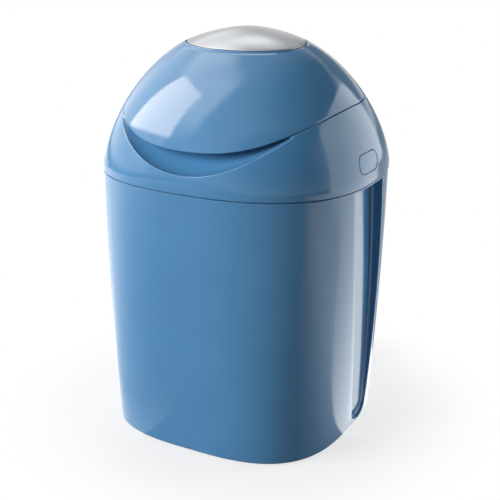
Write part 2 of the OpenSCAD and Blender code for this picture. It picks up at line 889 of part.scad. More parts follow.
// What is cut from the skirt so that it passes the roof of a grip
module skirt_notch() {
    box_to(
        [
            grip_floor_x(grip_top) - wall - skirt_room,
            grip_front_y(grip_top) - wall - skirt_room,
            skirt_low - past
        ],
        [
            rim_half_width,
            grip_rear_y(grip_top) + wall + skirt_room,
            deck_top - deck_thick
        ]
    );
}

module striker_slot(low, high) {
    box_to(
        [striker_x - striker_thick - bead - slot_room, button_y - striker_half - slot_room_y, low],
        [striker_x + slot_room, button_y + striker_half + slot_room_y, high]
    );
}

module peg_holes(r, low, high) {
    for (y = [-1, 1])
        translate([guide_x + peg_in, button_y + y * arm_in, low]) cylinder(r = r, h = high - low, $fn = 32);
}

module deck() {
    low = deck_top - deck_thick;
    color(pale) difference() {
        deck_plate();
        translate([0, 0, low - past]) cylinder(r = drum_out + run_gap, h = deck_thick + 2 * past, $fn = 96);
        both_sides() {
            skirt_notch();
            striker_slot(low - past, deck_top + past);
            peg_holes(peg_r + peg_gap, low - past, deck_top + past);
        }
        for (t = bolt_turns)
            translate([bolt_place(t)[0], bolt_place(t)[1], skirt_low - past]) {
                cylinder(r = screw_r + 2 * pin_fit, h = deck_top - skirt_low + 2 * past, $fn = 24);
                cylinder(r = screw_head_r + screw_room, h = low - skirt_low + past, $fn = 24);
            }
        ring_screw_holes(low - past, deck_top + past);
    }
}

screw_head_h = 1.8;
// Room around a screw's head where it sits beside the skirt
screw_room = 0.5;

// A screw that points up, with its head's top face at a height
module screw_up(x, y, head_top_z, length) {
    translate([x, y, head_top_z]) {
        cylinder(r = screw_r, h = length, $fn = 24);
        translate([0, 0, -screw_head_h]) cylinder(r = screw_head_r, h = screw_head_h, $fn = 24);
    }
}

module deck_screws() {
    seat = deck_top - deck_thick - seat_gap / 2;
    color(steel) {
        for (t = bolt_turns) screw_up(bolt_place(t)[0], bolt_place(t)[1], seat, deck_thick + ledge_thick);
        for (i = [0 : ring_screws - 1]) {
            a = ring_screw_turn(i);
            flange_seat = housing_top - housing_wall - seat_gap / 2;
            tip = deck_top + screw_bite - past;
            screw_up(ring_screw_at * cos(a), ring_screw_at * sin(a), flange_seat, tip - flange_seat);
        }
    }
}

// ---- Release buttons and latches ------------------------------------------------------------

// A solid of the head's outside around the buttons, to cut their faces to
module head_outside() {
    low = button_z - button_h / 2 - past;
    high = button_z + button_h / 2 + past;
    levels = [for (k = [0 : face_levels]) mix(low, high, k / face_levels)];
    skin([for (z = levels) head_ring(z, 0)], [0, 0, low], [0, 0, high]);
}
face_levels = 6;

// Inner face of a button's body, clear of the tub's tab when it is pressed
body_in = striker_x + button_travel + 1;
// The tab around the body that keeps the button in the head
tab_half_w = button_w / 2 + 1.8;
tab_half_h = button_h / 2 + 1;
tab_thick = 1.6;
// The two arms that reach past the tub's tab, and the latch bar between their ends
arm_in = striker_half + 6;
arm_thick = 2.6;
arm_half_h = 5;
bar_thick = 3;
nose = 2.5;
nose_h = 2.6;
nose_drop = 0.4;
nose_gap = 0.6;
bar_x0 = striker_x - striker_thick - bead - nose_gap - nose - bar_thick;

module release_button() {
    color(blue) intersection() {
        pill(
            button_w - 2 * button_gap, button_h - 2 * button_gap, button_r - button_gap,
            body_in, belt_half_width + past
        );
        head_outside();
    }
    color(pale) {
        pill(2 * tab_half_w, 2 * tab_half_h, button_r, body_in, body_in + tab_thick);
        for (y = [-arm_in - arm_thick, arm_in])
            box_to(
                [bar_x0, button_y + y, button_z - arm_half_h],
                [body_in + bond, button_y + y + arm_thick, button_z + arm_half_h]
            );
        box_to(
            [bar_x0, button_y - arm_in - bond, bead_z - nose_drop - nose_h],
            [bar_x0 + bar_thick, button_y + arm_in + bond, button_z + arm_half_h]
        );
        box_to(
            [bar_x0 + bar_thick - bond, button_y - striker_half + past, bead_z - nose_drop - nose_h],
            [bar_x0 + bar_thick + nose, button_y + striker_half - past, bead_z - nose_drop]
        );
    }
}

// Length of the spring behind a latch bar
spring_room = 7;
// The guide: its walls, its base, its running gap to the arms, and its height above them
guide_wall = 1.8;
guide_base = 2.2;
guide_gap = 0.4;
guide_over = 2;
guide_x = bar_x0 - spring_room - guide_wall;
guide_half = arm_in + arm_thick + guide_gap;

module latch_guide() {
    low = deck_top + seat_gap;
    end_x = body_in - button_travel - slot_room;
    high = button_z + arm_half_h + guide_over;
    color(pale) {
        difference() {
            box_to([guide_x, button_y - guide_half - guide_wall, low],
                [end_x, button_y + guide_half + guide_wall, low + guide_base]);
            striker_slot(low - past, low + guide_base + past);
        }
        box_to([guide_x, button_y - guide_half - guide_wall, low],
            [guide_x + guide_wall, button_y + guide_half + guide_wall, high]);
        for (y = [-guide_half - guide_wall, guide_half])
            box_to([guide_x, button_y + y, low],
                [end_x, button_y + y + guide_wall, high]);
        peg_holes(peg_r, deck_top - deck_thick, low + bond);
    }
}

// A coil spring along X, one closed tube with flat-cut ends
coil_steps = 14;
wire_sides = 6;

module button_spring() {
    x0 = guide_x + guide_wall + wire_r + seat_gap;
    x1 = bar_x0 - wire_r - seat_gap;
    count = coil_turns * coil_steps;
    rings = [
        for (i = [0 : count])
            let (a = 360 * i / coil_steps, x = mix(x0, x1, i / count))
            [
                for (k = [0 : wire_sides - 1])
                    let (b = 360 * k / wire_sides, r = coil_r + wire_r * cos(b))
                    [x + wire_r * sin(b), button_y + r * cos(a), button_z + r * sin(a)]
            ]
    ];
    color(steel) skin(rings, end_point(rings[0]), end_point(rings[count]));
}

// ---- Film cutter ----------------------------------------------------------------------------

// The rail: half width, gap to the gripper, place under the housing, length, plate, lips and depth
rail_half = 9;
rail_gap = 3;
rail_y = -(gripper_rim_r + rail_gap + rail_half);
rail_length = cutter_travel + slider_length + 8;
rail_plate = 2;
rail_top = housing_low - seat_gap;
rail_lip = 2;
rail_deep = 6;
// Running gap of the slider in the rail
slide_gap = 0.4;
rail_screw_x = rail_length / 2 - 12;
rail_screw_y = rail_y + 2;

module rail_screw_holes() {
    for (x = [-rail_screw_x, rail_screw_x])
        translate([x, rail_screw_y, rail_top - rail_plate - past])
            cylinder(r = screw_r + pin_fit, h = rail_plate + housing_wall + 3 * past, $fn = 24);
}

// One half of the rail's section, from its top edge to the plate's underside
function rail_side(side, low) = [
    for (p = [
        [rail_half, rail_top], [rail_half, low], [rail_half - 2 * rail_lip, low],
        [rail_half - 2 * rail_lip, low + rail_lip], [rail_half - rail_lip, low + rail_lip],
        [rail_half - rail_lip, rail_top - rail_plate]
    ]) [rail_y + side * p[0], p[1]]
];

module cutter_rail() {
    low = rail_top - rail_plate - rail_deep;
    color(pale) difference() {
        bar_x(-rail_length / 2, rail_length / 2, concat(
            rail_side(-1, low), [for (i = [5 : -1 : 0]) rail_side(1, low)[i]]
        ));
        rail_screw_holes();
    }
}

// Room that the rail's screw heads leave above the slider
rail_head = 1;

module rail_screws() {
    color(steel)
        for (x = [-rail_screw_x, rail_screw_x])
            translate([x, rail_screw_y, rail_top - rail_plate - rail_head - seat_gap / 2]) {
                cylinder(r = screw_head_r, h = rail_head, $fn = 24);
                translate([0, 0, rail_head - bond])
                    cylinder(r = screw_r, h = rail_plate + housing_wall + seat_gap + bond, $fn = 24);
            }
}

slider_x = -cutter_travel / 2;
tee_top = rail_top - rail_plate - rail_head - 2 * slide_gap;
tee_low = rail_top - rail_plate - rail_deep + rail_lip + slide_gap;
// The knob under the rail: its height, reach behind the rail, and bevel
knob_top = rail_top - rail_plate - rail_deep - slide_gap;
knob_h = 8;
knob_in = 14;
knob_bevel = 2;

module cutter_slider() {
    half = slider_length / 2;
    tee = rail_half - rail_lip - slide_gap;
    neck = rail_half - 2 * rail_lip - slide_gap;
    color([0.85, 0.45, 0.2]) translate([slider_x, 0, 0]) difference() {
        bar_x(-half, half, [
            [rail_y - tee, tee_top], [rail_y - tee, tee_low], [rail_y - neck, tee_low],
            [rail_y - neck, knob_top], [rail_y - rail_half, knob_top],
            [rail_y - rail_half, knob_top - knob_h],
            [rail_y + rail_half + knob_in - knob_bevel, knob_top - knob_h],
            [rail_y + rail_half + knob_in, knob_top - knob_bevel],
            [rail_y + rail_half + knob_in, knob_top], [rail_y + neck, knob_top], [rail_y + neck, tee_low],
            [rail_y + tee, tee_low], [rail_y + tee, tee_top]
        ]);
        box_to(
            [-blade_half - blade_gap, rail_y + rail_half, blade_z - blade_gap],
            [blade_half + blade_gap, rail_y + rail_half + knob_in + past, blade_z + blade_thick + blade_gap]
        );
    }
}

// The blade: half width, thickness, fit in the knob, reach past it, and the depth of its notch
blade_half = 8;
blade_thick = 0.8;
blade_gap = 0.1;
blade_z = knob_top - knob_h / 2;
blade_out = 7;
blade_notch = 8;

module cutter_blade() {
    y0 = rail_y + rail_half + blade_gap;
    y1 = rail_y + rail_half + knob_in + blade_out;
    color(steel) translate([slider_x, 0, blade_z]) linear_extrude(height = blade_thick)
        polygon([
            [-blade_half, y0], [blade_half, y0], [blade_half, y1], [0, y1 - blade_notch], [-blade_half, y1]
        ]);
}

// ---- Lid ------------------------------------------------------------------------------------

// Rings over the height of the lid's wall
lid_levels = 7;
// Depth of the lid's inside below the crown
deep = plate_drop + wall;

// The lid's wall at a share of its height; thick is 0 outside and 1 inside
function lid_point(turn, share, thick) =
    let (
        under = thick * mix(wall, deep, pow(share, 3)),
        z = mix(seam_z(turn), rim_z(turn) - under, share)
    )
    at_height(dome_outline(z, thick * wall, turn, under), z);

function lid_ring(share, thick) = ring_of(function (turn) lid_point(turn, share, thick));

// A point of the crown: out runs from the middle to the plate's rim, below is the depth under it
function crown_point(turn, out, below) =
    let (
        rz = rim_z(turn),
        p = dome_outline(rz, 0, turn),
        top = mix(rz, height, 1 - pow(out, crown_power))
    )
    [p[0] * out, crown_y + (p[1] - crown_y) * out, top - below];

function crown_ring(out, below) = ring_of(function (turn) crown_point(turn, out, below));
function crown_middle(below) = [0, crown_y, height - below];

module lid_casing() {
    skin(
        concat(
            [crown_ring(0.4, deep), crown_ring(0.75, deep)],
            [for (k = [lid_levels : -1 : 0]) lid_ring(k / lid_levels, 1)],
            [for (k = [0 : lid_levels]) lid_ring(k / lid_levels, 0)],
            [crown_ring(1, plate_drop), crown_ring(0.75, plate_drop), crown_ring(0.4, plate_drop)]
        ),
        crown_middle(deep), crown_middle(plate_drop)
    );
}

module lid_shell() {
    color(blue) difference() {
        union() {
            lid_casing();
            rod_x(barrel_r, -lid_inner, lid_inner, lid_hinge_y, lid_hinge_z);
            lug(
                -lid_inner, lid_inner, lid_hinge_y, lid_hinge_z, 1,
                rear_root(lid_hinge_z + lug_seam), rear_root(lid_hinge_z + lid_lug_h)
            );
        }
        rod_x(pin_r + pin_fit, -lid_outer, lid_outer, lid_hinge_y, lid_hinge_z);
    }
}

// Reach of the plate from its middle to the front, and the bevel of its edge
plate_reach = 50;
plate_bevel = 0.5;

module top_plate() {
    out = 1 - plate_gap / plate_reach;
    color(silver) skin(
        concat(
            [for (share = [0.4, 0.75, out]) crown_ring(share, plate_thick)],
            [crown_ring(out, plate_bevel), crown_ring(out - plate_bevel / plate_reach, 0)],
            [for (share = [0.8, 0.6, 0.4, 0.2]) crown_ring(share, 0)]
        ),
        crown_middle(plate_thick), crown_middle(0)
    );
}

// Height of the lid's seal, and its gap above the cassette
seal_h = 2;
seal_gap = 0.4;
disc_z = cassette_top + seal_gap + seal_h;
liner_disc = cassette_r - liner_disc_in;
// Height of the liner's edge above the lid's seam, and the inset and height of its step
liner_up = 6;
liner_step_in = 24;
liner_step_up = 4;

function liner_ring(inset, up) = ring_of(
    function (turn) let (z = seam_z(turn) + up) at_height(dome_outline(z, inset, turn, wall + liner_gap), z)
);
function disc_ring(r, z) = ring_of(function (turn) [r * cos(turn), r * sin(turn), z]);

module lid_liner() {
    edge = wall + liner_gap;
    color(pale) skin(
        [
            disc_ring(liner_disc, disc_z),
            liner_ring(liner_step_in, liner_step_up),
            liner_ring(edge, liner_up),
            liner_ring(edge, liner_up + liner_thick),
            liner_ring(liner_step_in, liner_step_up + liner_thick),
            disc_ring(liner_disc - liner_thick, disc_z + liner_thick)
        ],
        [0, 0, disc_z], [0, 0, disc_z + liner_thick]
    );
}

// Radii of the seal's lip and of its root on the liner
seal_lip = [throat_r + 4, throat_r + 7];
seal_root = [throat_r + 2, throat_r + 9];

module lid_seal() {
    low = disc_z - seal_h;
    color(dark) turned([
        [seal_lip[0], low], [seal_lip[1], low], [seal_root[1], disc_z], [seal_root[0], disc_z]
    ]);
}

// The parts are drawn about the drum's axis, and this moves them to the middle of the whole bin
middle_y = (tilt_y + barrel_r - belt_front) / 2;

module placed() {
    translate([0, -middle_y, 0]) children();
}

placed() tub();
placed() feet();
placed() tilt_hinge_pin();
placed() head_shell();
placed() deck();
placed() deck_screws();
placed() bearing_ring();
placed() drum_housing();
placed() film_gripper();
placed() on_side(1) latch_guide();  // latch_guide_right
placed() on_side(-1) latch_guide();  // latch_guide_left
placed() cutter_rail();
placed() rail_screws();
placed() lid_hinge_pin();
placed() lid_shell();
placed() lid_liner();
placed() lid_seal();
placed() top_plate();
placed() on_side(1) release_button();  // release_button_right
placed() on_side(-1) release_button();  // release_button_left
placed() on_side(1) button_spring();  // button_spring_right
placed() on_side(-1) button_spring();  // button_spring_left
placed() twist_drum();
placed() cassette_body();
placed() cassette_cap();
placed() film_pack();
placed() cutter_slider();
placed() cutter_blade();
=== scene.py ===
# A nappy bin: a tapered blue tub with side grips, a head that tilts back, a domed lid with a finger
# scoop and a silver plate, and the drum, film cassette and cutter inside.
# Metres, +Z up, the front faces -Y. Outlines are drawn about the drum's upright axis.
import functools
import json
import math

import bpy
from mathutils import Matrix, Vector


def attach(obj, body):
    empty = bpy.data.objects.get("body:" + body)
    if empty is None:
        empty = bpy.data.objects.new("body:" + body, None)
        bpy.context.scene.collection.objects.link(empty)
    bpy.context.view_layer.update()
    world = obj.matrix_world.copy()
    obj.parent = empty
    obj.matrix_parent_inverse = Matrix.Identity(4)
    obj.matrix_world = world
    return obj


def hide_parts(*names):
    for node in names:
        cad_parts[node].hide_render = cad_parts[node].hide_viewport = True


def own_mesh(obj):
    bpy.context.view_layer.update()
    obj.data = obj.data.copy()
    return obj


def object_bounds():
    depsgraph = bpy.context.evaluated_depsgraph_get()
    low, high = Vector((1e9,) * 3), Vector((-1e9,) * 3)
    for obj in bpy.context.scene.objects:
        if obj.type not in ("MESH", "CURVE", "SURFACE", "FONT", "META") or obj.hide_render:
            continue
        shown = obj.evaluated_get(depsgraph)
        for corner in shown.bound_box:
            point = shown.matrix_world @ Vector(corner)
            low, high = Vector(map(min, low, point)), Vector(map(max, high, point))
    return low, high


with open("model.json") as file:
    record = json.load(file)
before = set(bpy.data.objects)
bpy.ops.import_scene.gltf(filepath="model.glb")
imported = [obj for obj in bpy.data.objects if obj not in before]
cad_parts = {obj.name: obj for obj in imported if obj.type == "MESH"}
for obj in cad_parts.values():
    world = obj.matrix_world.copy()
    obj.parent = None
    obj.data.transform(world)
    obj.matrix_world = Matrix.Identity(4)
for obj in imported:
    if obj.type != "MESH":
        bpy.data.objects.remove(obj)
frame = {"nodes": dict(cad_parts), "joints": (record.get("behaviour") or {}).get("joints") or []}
CAD_BOX = [list(corner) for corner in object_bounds()]
JOINTS = {joint["name"]: joint for joint in frame["joints"]}

# ---- Sizes ----

HEIGHT = CAD_BOX[1][2]
AXIS = Vector((0, JOINTS["drum_twist"]["pos_m"][1], 0))
WALL = 0.0026

# Reaches of an outline are to the side, the front and the rear; a squareness of 2 is an ellipse
TUB_TOP = 0.277
RIM = Vector((0.1426, 0.1272, 0.1328))
RIM_SQUARE = 2.56
BASE = Vector((0.1258, 0.1197, 0.1196))
BASE_SQUARE = 3.03
TUB_BOW = 0.002
BASE_ROUND = 0.0024
FOOT_STAND = 0.0012
TUB_FLOOR = 0.0042
TUB_FLOOR_ROUND = 0.004
RIM_ROUND = 0.0006
RIM_INSIDE = 0.0016

GRIP_TOP = TUB_TOP - 0.002
GRIP_LOW = 0.0049
GRIP_END = 0.0100
GRIP_DEPTH = 0.0126
GRIP_DEPTH_LOW = 0.005
GRIP_FRONT = (-0.035, 0.030, 0.013)
GRIP_REAR = (0.030, 0.050, -0.038)
GRIP_CORNER = 0.003
GRIP_EDGE = 0.0009

HEAD_Z = TUB_TOP + 0.0007
HEAD_EDGE = 0.0012
BELT_Z = TUB_TOP + 0.0086
BELT = Vector((0.1433, 0.1280, 0.1362))
BELT_SQUARE = 2.52
CROWN_SQUARE = 2
SQUARE_RISE = 0.66
DOME_POWER = 1.64
DOME_ROUND = Vector((2.15, 1.52, 2.24))
NEAR_CROWN = 0.999
LEDGE_Z = BELT_Z - 0.0005
LEDGE_THICK = 0.0025
LEDGE_WIDTH = 0.010

LID_SEAM_Z = TUB_TOP + 0.0753
LID_DROP = 0.0352
SEAM_REACH = 0.121
LID_GAP = 0.0005
LIP_ROUND = 0.0009
SCOOP_Z = TUB_TOP + 0.019
SCOOP_RISE = 0.031
SCOOP_HALF = 0.086
SCOOP_DEPTH = 0.018
SCOOP_EDGE = 0.0008
EDGE_MIN = 0.0025
HEAD_TOP_ROUND = 0.0004

PLATE_Z = HEIGHT - 0.0154
PLATE_SLOPE = 0.045
PLATE_THICK = 0.0026
PLATE_SEAT = PLATE_THICK + 0.0002
PLATE_REACH = 0.050
PLATE_GAP = 0.0008
PLATE_ROUND = 0.0003
PLATE_UNDERCUT = 0.0012
CROWN_Y = 0.007
CROWN_POWER = 1.8

BUTTON_Y = -0.008
BUTTON_Z = TUB_TOP + 0.023
BUTTON_W = 0.0407
BUTTON_H = 0.020
BUTTON_R = 0.009
BUTTON_GAP = 0.0005
BUTTON_ROUND = 0.0007
BUTTON_TRAVEL = 0.0035
WINDOW_ROUND = 0.0005

# Hinges: a barrel's arc is in degrees; a lug's root is between two depths from its casing's edge
BARREL_R = 0.0046
BARREL_ARC = (-45, 190)
BARREL_STEPS = 24
PIN_BORE = 0.00205
LUG_ROUND = 0.0005
LUG_ROOT = 0.8 * WALL
LUG_NEAR = 0.0035
TUB_LUG_FAR = 0.024
HEAD_LUG_FAR = 0.016
LID_LUG_FAR = 0.020
TILT_Y = JOINTS["head_tilt"]["pos_m"][1] - AXIS.y
TILT_Z = JOINTS["head_tilt"]["pos_m"][2]
LID_HINGE_Y = JOINTS["lid_open"]["pos_m"][1] - AXIS.y
LID_HINGE_Z = JOINTS["lid_open"]["pos_m"][2]
BARREL_END = 0.0004

# Steps around a casing and a small round part, the distance that joins points, and a block's edges
COLUMNS = 256
ROUND_COLUMNS = 48
MERGE = 0.00001
BLOCK_ROUND = 0.0004


def mix(a, b, share):
    """A number, place or shape between two."""
    return a + (b - a) * share


def spread(low, high, steps):
    """Numbers from low to high in that many equal steps."""
    return [mix(low, high, step / steps) for step in range(steps + 1)]


def quarter(steps):
    """Sine and cosine of the angles from 0 to 90 degrees."""
    return [(math.sin(a), math.cos(a)) for a in spread(0, math.pi / 2, steps)]


def circle(steps):
    """Angles once around in that many equal steps."""
    return [2 * math.pi * step / steps for step in range(steps)]


def arc(x, y, radius, angles):
    """Points on a circle at those angles."""
    return [(x + radius * math.cos(a), y + radius * math.sin(a)) for a in angles]


# ---- Outlines ----


def oval(reach, square, turn):
    """A point of a rounded outline with its own reach to the side, the front and the rear."""
    across, along = math.cos(turn), math.sin(turn)
    x = math.copysign(reach.x * abs(across) ** (2 / square), across)
    y = math.copysign((reach.y if along < 0 else reach.z) * abs(along) ** (2 / square), along)
    return x, y


def side_x(reach, square, y):
    """Half width of an outline at a distance in front of or behind its middle."""
    far = reach.y if y < 0 else reach.z
    return reach.x * (1 - min(abs(y) / far, 1) ** square) ** (1 / square)


def side_turn(reach, square, y):
    """Direction in which an outline passes that distance, on its right-hand side."""
    far = reach.y if y < 0 else reach.z
    return math.copysign(math.asin((abs(y) / far) ** (square / 2)), y)


def tub_shape(z, inset):
    """Reaches and squareness of the tub at a height; its walls bow out half way up."""
    up = z / TUB_TOP
    out = TUB_BOW * 4 * up * (1 - up) - inset
    return mix(BASE, RIM, up) + Vector((out,) * 3), mix(BASE_SQUARE, RIM_SQUARE, up)


def dome_shape(z, inset, lower=0):
    """Reaches and squareness of the head and lid at a height, for a dome whose top is lower by that."""
    up = min(max((z - BELT_Z) / (HEIGHT - lower - BELT_Z), 0), NEAR_CROWN)
    left = 1 - up**DOME_POWER
    reach = Vector([far * left ** (1 / power) - inset for far, power in zip(BELT, DOME_ROUND)])
    return reach, mix(BELT_SQUARE, CROWN_SQUARE, up**SQUARE_RISE)


def dome_point(turn, z, inset, lower=0):
    """A point of the head's or lid's wall in that direction and at that height."""
    reach, square = dome_shape(z, inset, lower)
    return Vector((*oval(reach, square, turn), z))


@functools.cache
def seam_z(turn):
    """Height of the lid's seam, which drops to the front; found by repeated substitution."""
    z = LID_SEAM_Z - LID_DROP / 2
    for _ in range(6):
        y = dome_point(turn, z, 0).y
        z = LID_SEAM_Z - (LID_DROP * (y / SEAM_REACH) ** 2 if y < 0 else 0)
    return z


@functools.cache
def plate_z(turn):
    """Height of the rim around the silver plate."""
    z = PLATE_Z
    for _ in range(6):
        z = PLATE_Z + PLATE_SLOPE * dome_point(turn, z, 0).y
    return z


@functools.cache
def scoop_low(turn):
    """Height at which the head's outer wall ends: the scoop's rim, or just under the lid's seam."""
    under = seam_z(turn) - EDGE_MIN
    z = BUTTON_Z
    for _ in range(8):
        p = dome_point(turn, z, 0)
        z = (z + SCOOP_Z + SCOOP_RISE * (p.x / SCOOP_HALF) ** 2) / 2
    return under if p.y > 0 else min(under, z)


FRONT = -math.pi / 2


@functools.cache
def scoop_in(turn):
    """Depth of the scoop behind the outer wall."""
    tall = seam_z(FRONT) - EDGE_MIN - SCOOP_Z
    return SCOOP_DEPTH * math.sqrt(min(max((seam_z(turn) - EDGE_MIN - scoop_low(turn)) / tall, 0), 1))


def crown_point(turn, out, below):
    """A point of the crown: out runs from the middle to the plate's rim, below is the depth under it."""
    z = plate_z(turn)
    p = dome_point(turn, z, 0)
    top = mix(z, HEIGHT, 1 - out**CROWN_POWER)
    return Vector((p.x * out, CROWN_Y + (p.y - CROWN_Y) * out, top - below))


# ---- Modelling steps ----


def pick(*pieces):
    """Selects those pieces alone."""
    bpy.ops.object.select_all(action="DESELECT")
    for piece in pieces:
        piece.select_set(True)
    bpy.context.view_layer.objects.active = pieces[0]


def started(add, **settings):
    """Adds a primitive with nothing else selected."""
    bpy.ops.object.select_all(action="DESELECT")
    add(**settings)
    return bpy.context.object


def in_edit(piece, *steps):
    """Runs edit-mode steps on all of a piece."""
    pick(piece)
    bpy.ops.object.mode_set(mode="EDIT")
    bpy.ops.mesh.select_all(action="SELECT")
    for step in steps:
        step()
    bpy.ops.object.mode_set(mode="OBJECT")


def merge():
    """Joins points that lie together."""
    bpy.ops.mesh.remove_doubles(threshold=MERGE)


def face_out():
    """Turns every face outwards."""
    bpy.ops.mesh.normals_make_consistent(inside=False)


def modified(piece, kind, **settings):
    """Adds a modifier to a piece and applies it."""
    modifier = piece.modifiers.new(kind, kind)
    for name, value in settings.items():
        setattr(modifier, name, value)
    pick(piece)
    bpy.ops.object.modifier_apply(modifier=modifier.name)


def bevelled(piece, width, segments=3, angle=40):
    """Rounds the edges that are sharper than an angle."""
    modified(
        piece, "BEVEL", width=width, segments=segments, limit_method="ANGLE",
        angle_limit=math.radians(angle),
    )
    return piece


def cut(piece, *tools):
    """Takes closed shapes out of a piece."""
    for tool in tools:
        modified(piece, "BOOLEAN", operation="DIFFERENCE", solver="EXACT", object=tool)
        bpy.data.objects.remove(tool)
    return piece


def joined(pieces):
    """Joins pieces into one."""
    pick(*pieces)
    bpy.ops.object.join()
    return bpy.context.object


def wrapped(rings):
    """A closed skin: a grid wrapped once around, its rows laid on the rings, its doubles merged."""
    rows, columns = len(rings), len(rings[0])
    grid = bpy.ops.mesh.primitive_grid_add
    piece = started(grid, x_subdivisions=columns, y_subdivisions=rows - 1, size=1)
    for vertex in piece.data.vertices:
        column = round((vertex.co.x + 0.5) * columns) % columns
        row = round((vertex.co.y + 0.5) * (rows - 1))
        vertex.co = rings[row][column] + AXIS
    in_edit(piece, merge, face_out)
    return piece


def around(row):
    """A ring of points, one for each direction."""
    return [row(turn) for turn in circle(COLUMNS)]


def pole(x, y, z, columns=COLUMNS):
    """A ring drawn together to one point."""
    return [Vector((x, y, z))] * columns


def turned(profile, centre):
    """A solid turned about an upright axis, from a profile of radius and height."""
    angles = circle(ROUND_COLUMNS)
    return wrapped([[Vector((*place, z)) for place in arc(*centre, r, angles)] for r, z in profile])


def drawn_x(outline, x0, x1):
    """A closed outline of front-to-rear and height, drawn out along X."""
    piece = started(bpy.ops.mesh.primitive_circle_add, vertices=len(outline), fill_type="NGON")
    for vertex, (y, z) in zip(piece.data.vertices, outline):
        vertex.co = Vector((x0, y, z)) + AXIS
    in_edit(
        piece,
        lambda: bpy.ops.mesh.extrude_region_move(TRANSFORM_OT_translate={"value": (x1 - x0, 0, 0)}),
        lambda: bpy.ops.mesh.select_all(action="SELECT"),
        face_out,
    )
    return piece


def block(low, high, bevel=BLOCK_ROUND):
    """A moulded block between two corners, with rounded edges."""
    low, high = Vector(low), Vector(high)
    piece = started(bpy.ops.mesh.primitive_cube_add, size=1)
    for vertex in piece.data.vertices:
        vertex.co = Vector([mix(a, b, c + 0.5) for a, b, c in zip(low, high, vertex.co)]) + AXIS
    return bevelled(piece, bevel, 2)


def rod_x(radius, x0, x1, y, z):
    """A round rod along X."""
    return drawn_x(arc(y, z, radius, circle(ROUND_COLUMNS)), x0, x1)


def knuckle(x0, x1, y, z, side, roots):
    """A hinge barrel on its lug: side is 1 where the lug rises to its wall and -1 where it hangs."""
    first, last = [math.radians(angle) for angle in BARREL_ARC]
    barrel = arc(y, z, BARREL_R, [-side * a for a in spread(first, last, BARREL_STEPS)])
    far, near = roots
    piece = bevelled(drawn_x([far, *barrel, near], x0, x1), LUG_ROUND)
    return cut(piece, rod_x(PIN_BORE, x0 - WALL, x1 + WALL, y, z))


def placed(piece, name, body, slot, finish, *nodes, smooth=35):
    """Names a finished piece, shades it, gives it its finish and lets it ride on its body."""
    piece.name = piece.data.name = name
    piece.data.materials.clear()
    piece.data.materials.append(finish)
    pick(piece)
    bpy.ops.object.shade_smooth_by_angle(angle=math.radians(smooth))
    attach(piece, body)
    if nodes:
        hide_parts(*nodes)
    return piece


# ---- Finishes ----


class Shade:
    """A socket of a shader tree. Sums and products of sockets add the Math nodes they stand for."""

    def __init__(self, tree, socket=None):
        self.tree, self.socket = tree, socket

    def node(self, kind, settings, inputs, output=0):
        """A new node with its settings, then the values or links of its sockets; gives one output."""
        node = self.tree.nodes.new("ShaderNode" + kind)
        for name, value in settings.items():
            setattr(node, name, value)
        for name, value in inputs.items():
            if isinstance(value, Shade):
                self.tree.links.new(value.socket, node.inputs[name])
            else:
                node.inputs[name].default_value = value
        return Shade(self.tree, node.outputs[output])

    def math(self, operation, first, second):
        """A Math node over two sockets or numbers."""
        return self.node("Math", {"operation": operation}, {0: first, 1: second})

    def __add__(self, other):
        return self.math("ADD", self, other)

    def __sub__(self, other):
        return self.math("SUBTRACT", self, other)

    def __rsub__(self, other):
        return self.math("SUBTRACT", other, self)

    def __mul__(self, other):
        return self.math("MULTIPLY", self, other)

    __radd__ = __add__
    __rmul__ = __mul__

    def ramp(self, low, high):
        """0 below low and 1 above high, smoothly between."""
        return self.node("MapRange", {"interpolation_type": "SMOOTHSTEP"}, {0: self, 1: low, 2: high})

    def colours(self, first, second):
        """A colour between two, for a share from 0 to 1."""
        return self.node("Mix", {"data_type": "RGBA"}, {0: self, 6: (*first, 1), 7: (*second, 1)}, 2)

    def tones(self, colour, darkest, palest):
        """A tone of a colour between two shares of its brightness."""
        return self.colours(shade_of(colour, darkest), shade_of(colour, palest))

    def place(self, kind="Object"):
        """The piece's own coordinates."""
        return self.node("TexCoord", {}, {}, kind)

    def noise(self, scale, detail, stretch=(1, 1, 1)):
        """Noise over the piece's own coordinates, from 0 to 1."""
        place = self.place()
        if stretch != (1, 1, 1):
            place = self.node("Mapping", {}, {0: place, 3: stretch})
        return self.node("TexNoise", {}, {"Vector": place, "Scale": scale, "Detail": detail})

    def height(self):
        """Height above the floor in the rest position."""
        return self.node("SeparateXYZ", {}, {0: self.place()}, 2)

    def bump(self, height, distance):
        """A surface direction for a height from 0 to 1 over that distance."""
        return self.node("Bump", {}, {"Strength": 1.0, "Distance": distance, "Height": height})


def empty_tree(owner):
    """The tree of a new material or world, with its nodes cleared."""
    owner.use_nodes = True
    owner.node_tree.nodes.clear()
    return Shade(owner.node_tree)


def output_of(tree, surface, kind="Material"):
    """Links a shader to the output of a material's or a world's tree."""
    output = tree.tree.nodes.new("ShaderNodeOutput" + kind)
    tree.tree.links.new(surface.socket, output.inputs["Surface"])


def finish_of(name, build):
    """A material whose shader's sockets are what build returns for an empty tree."""
    material = bpy.data.materials.new(name)
    tree = empty_tree(material)
    output_of(tree, tree.node("BsdfPrincipled", {}, build(tree)))
    return material


def shade_of(colour, factor):
    """A darker or paler tone of a colour."""
    return tuple(channel * factor for channel in colour)


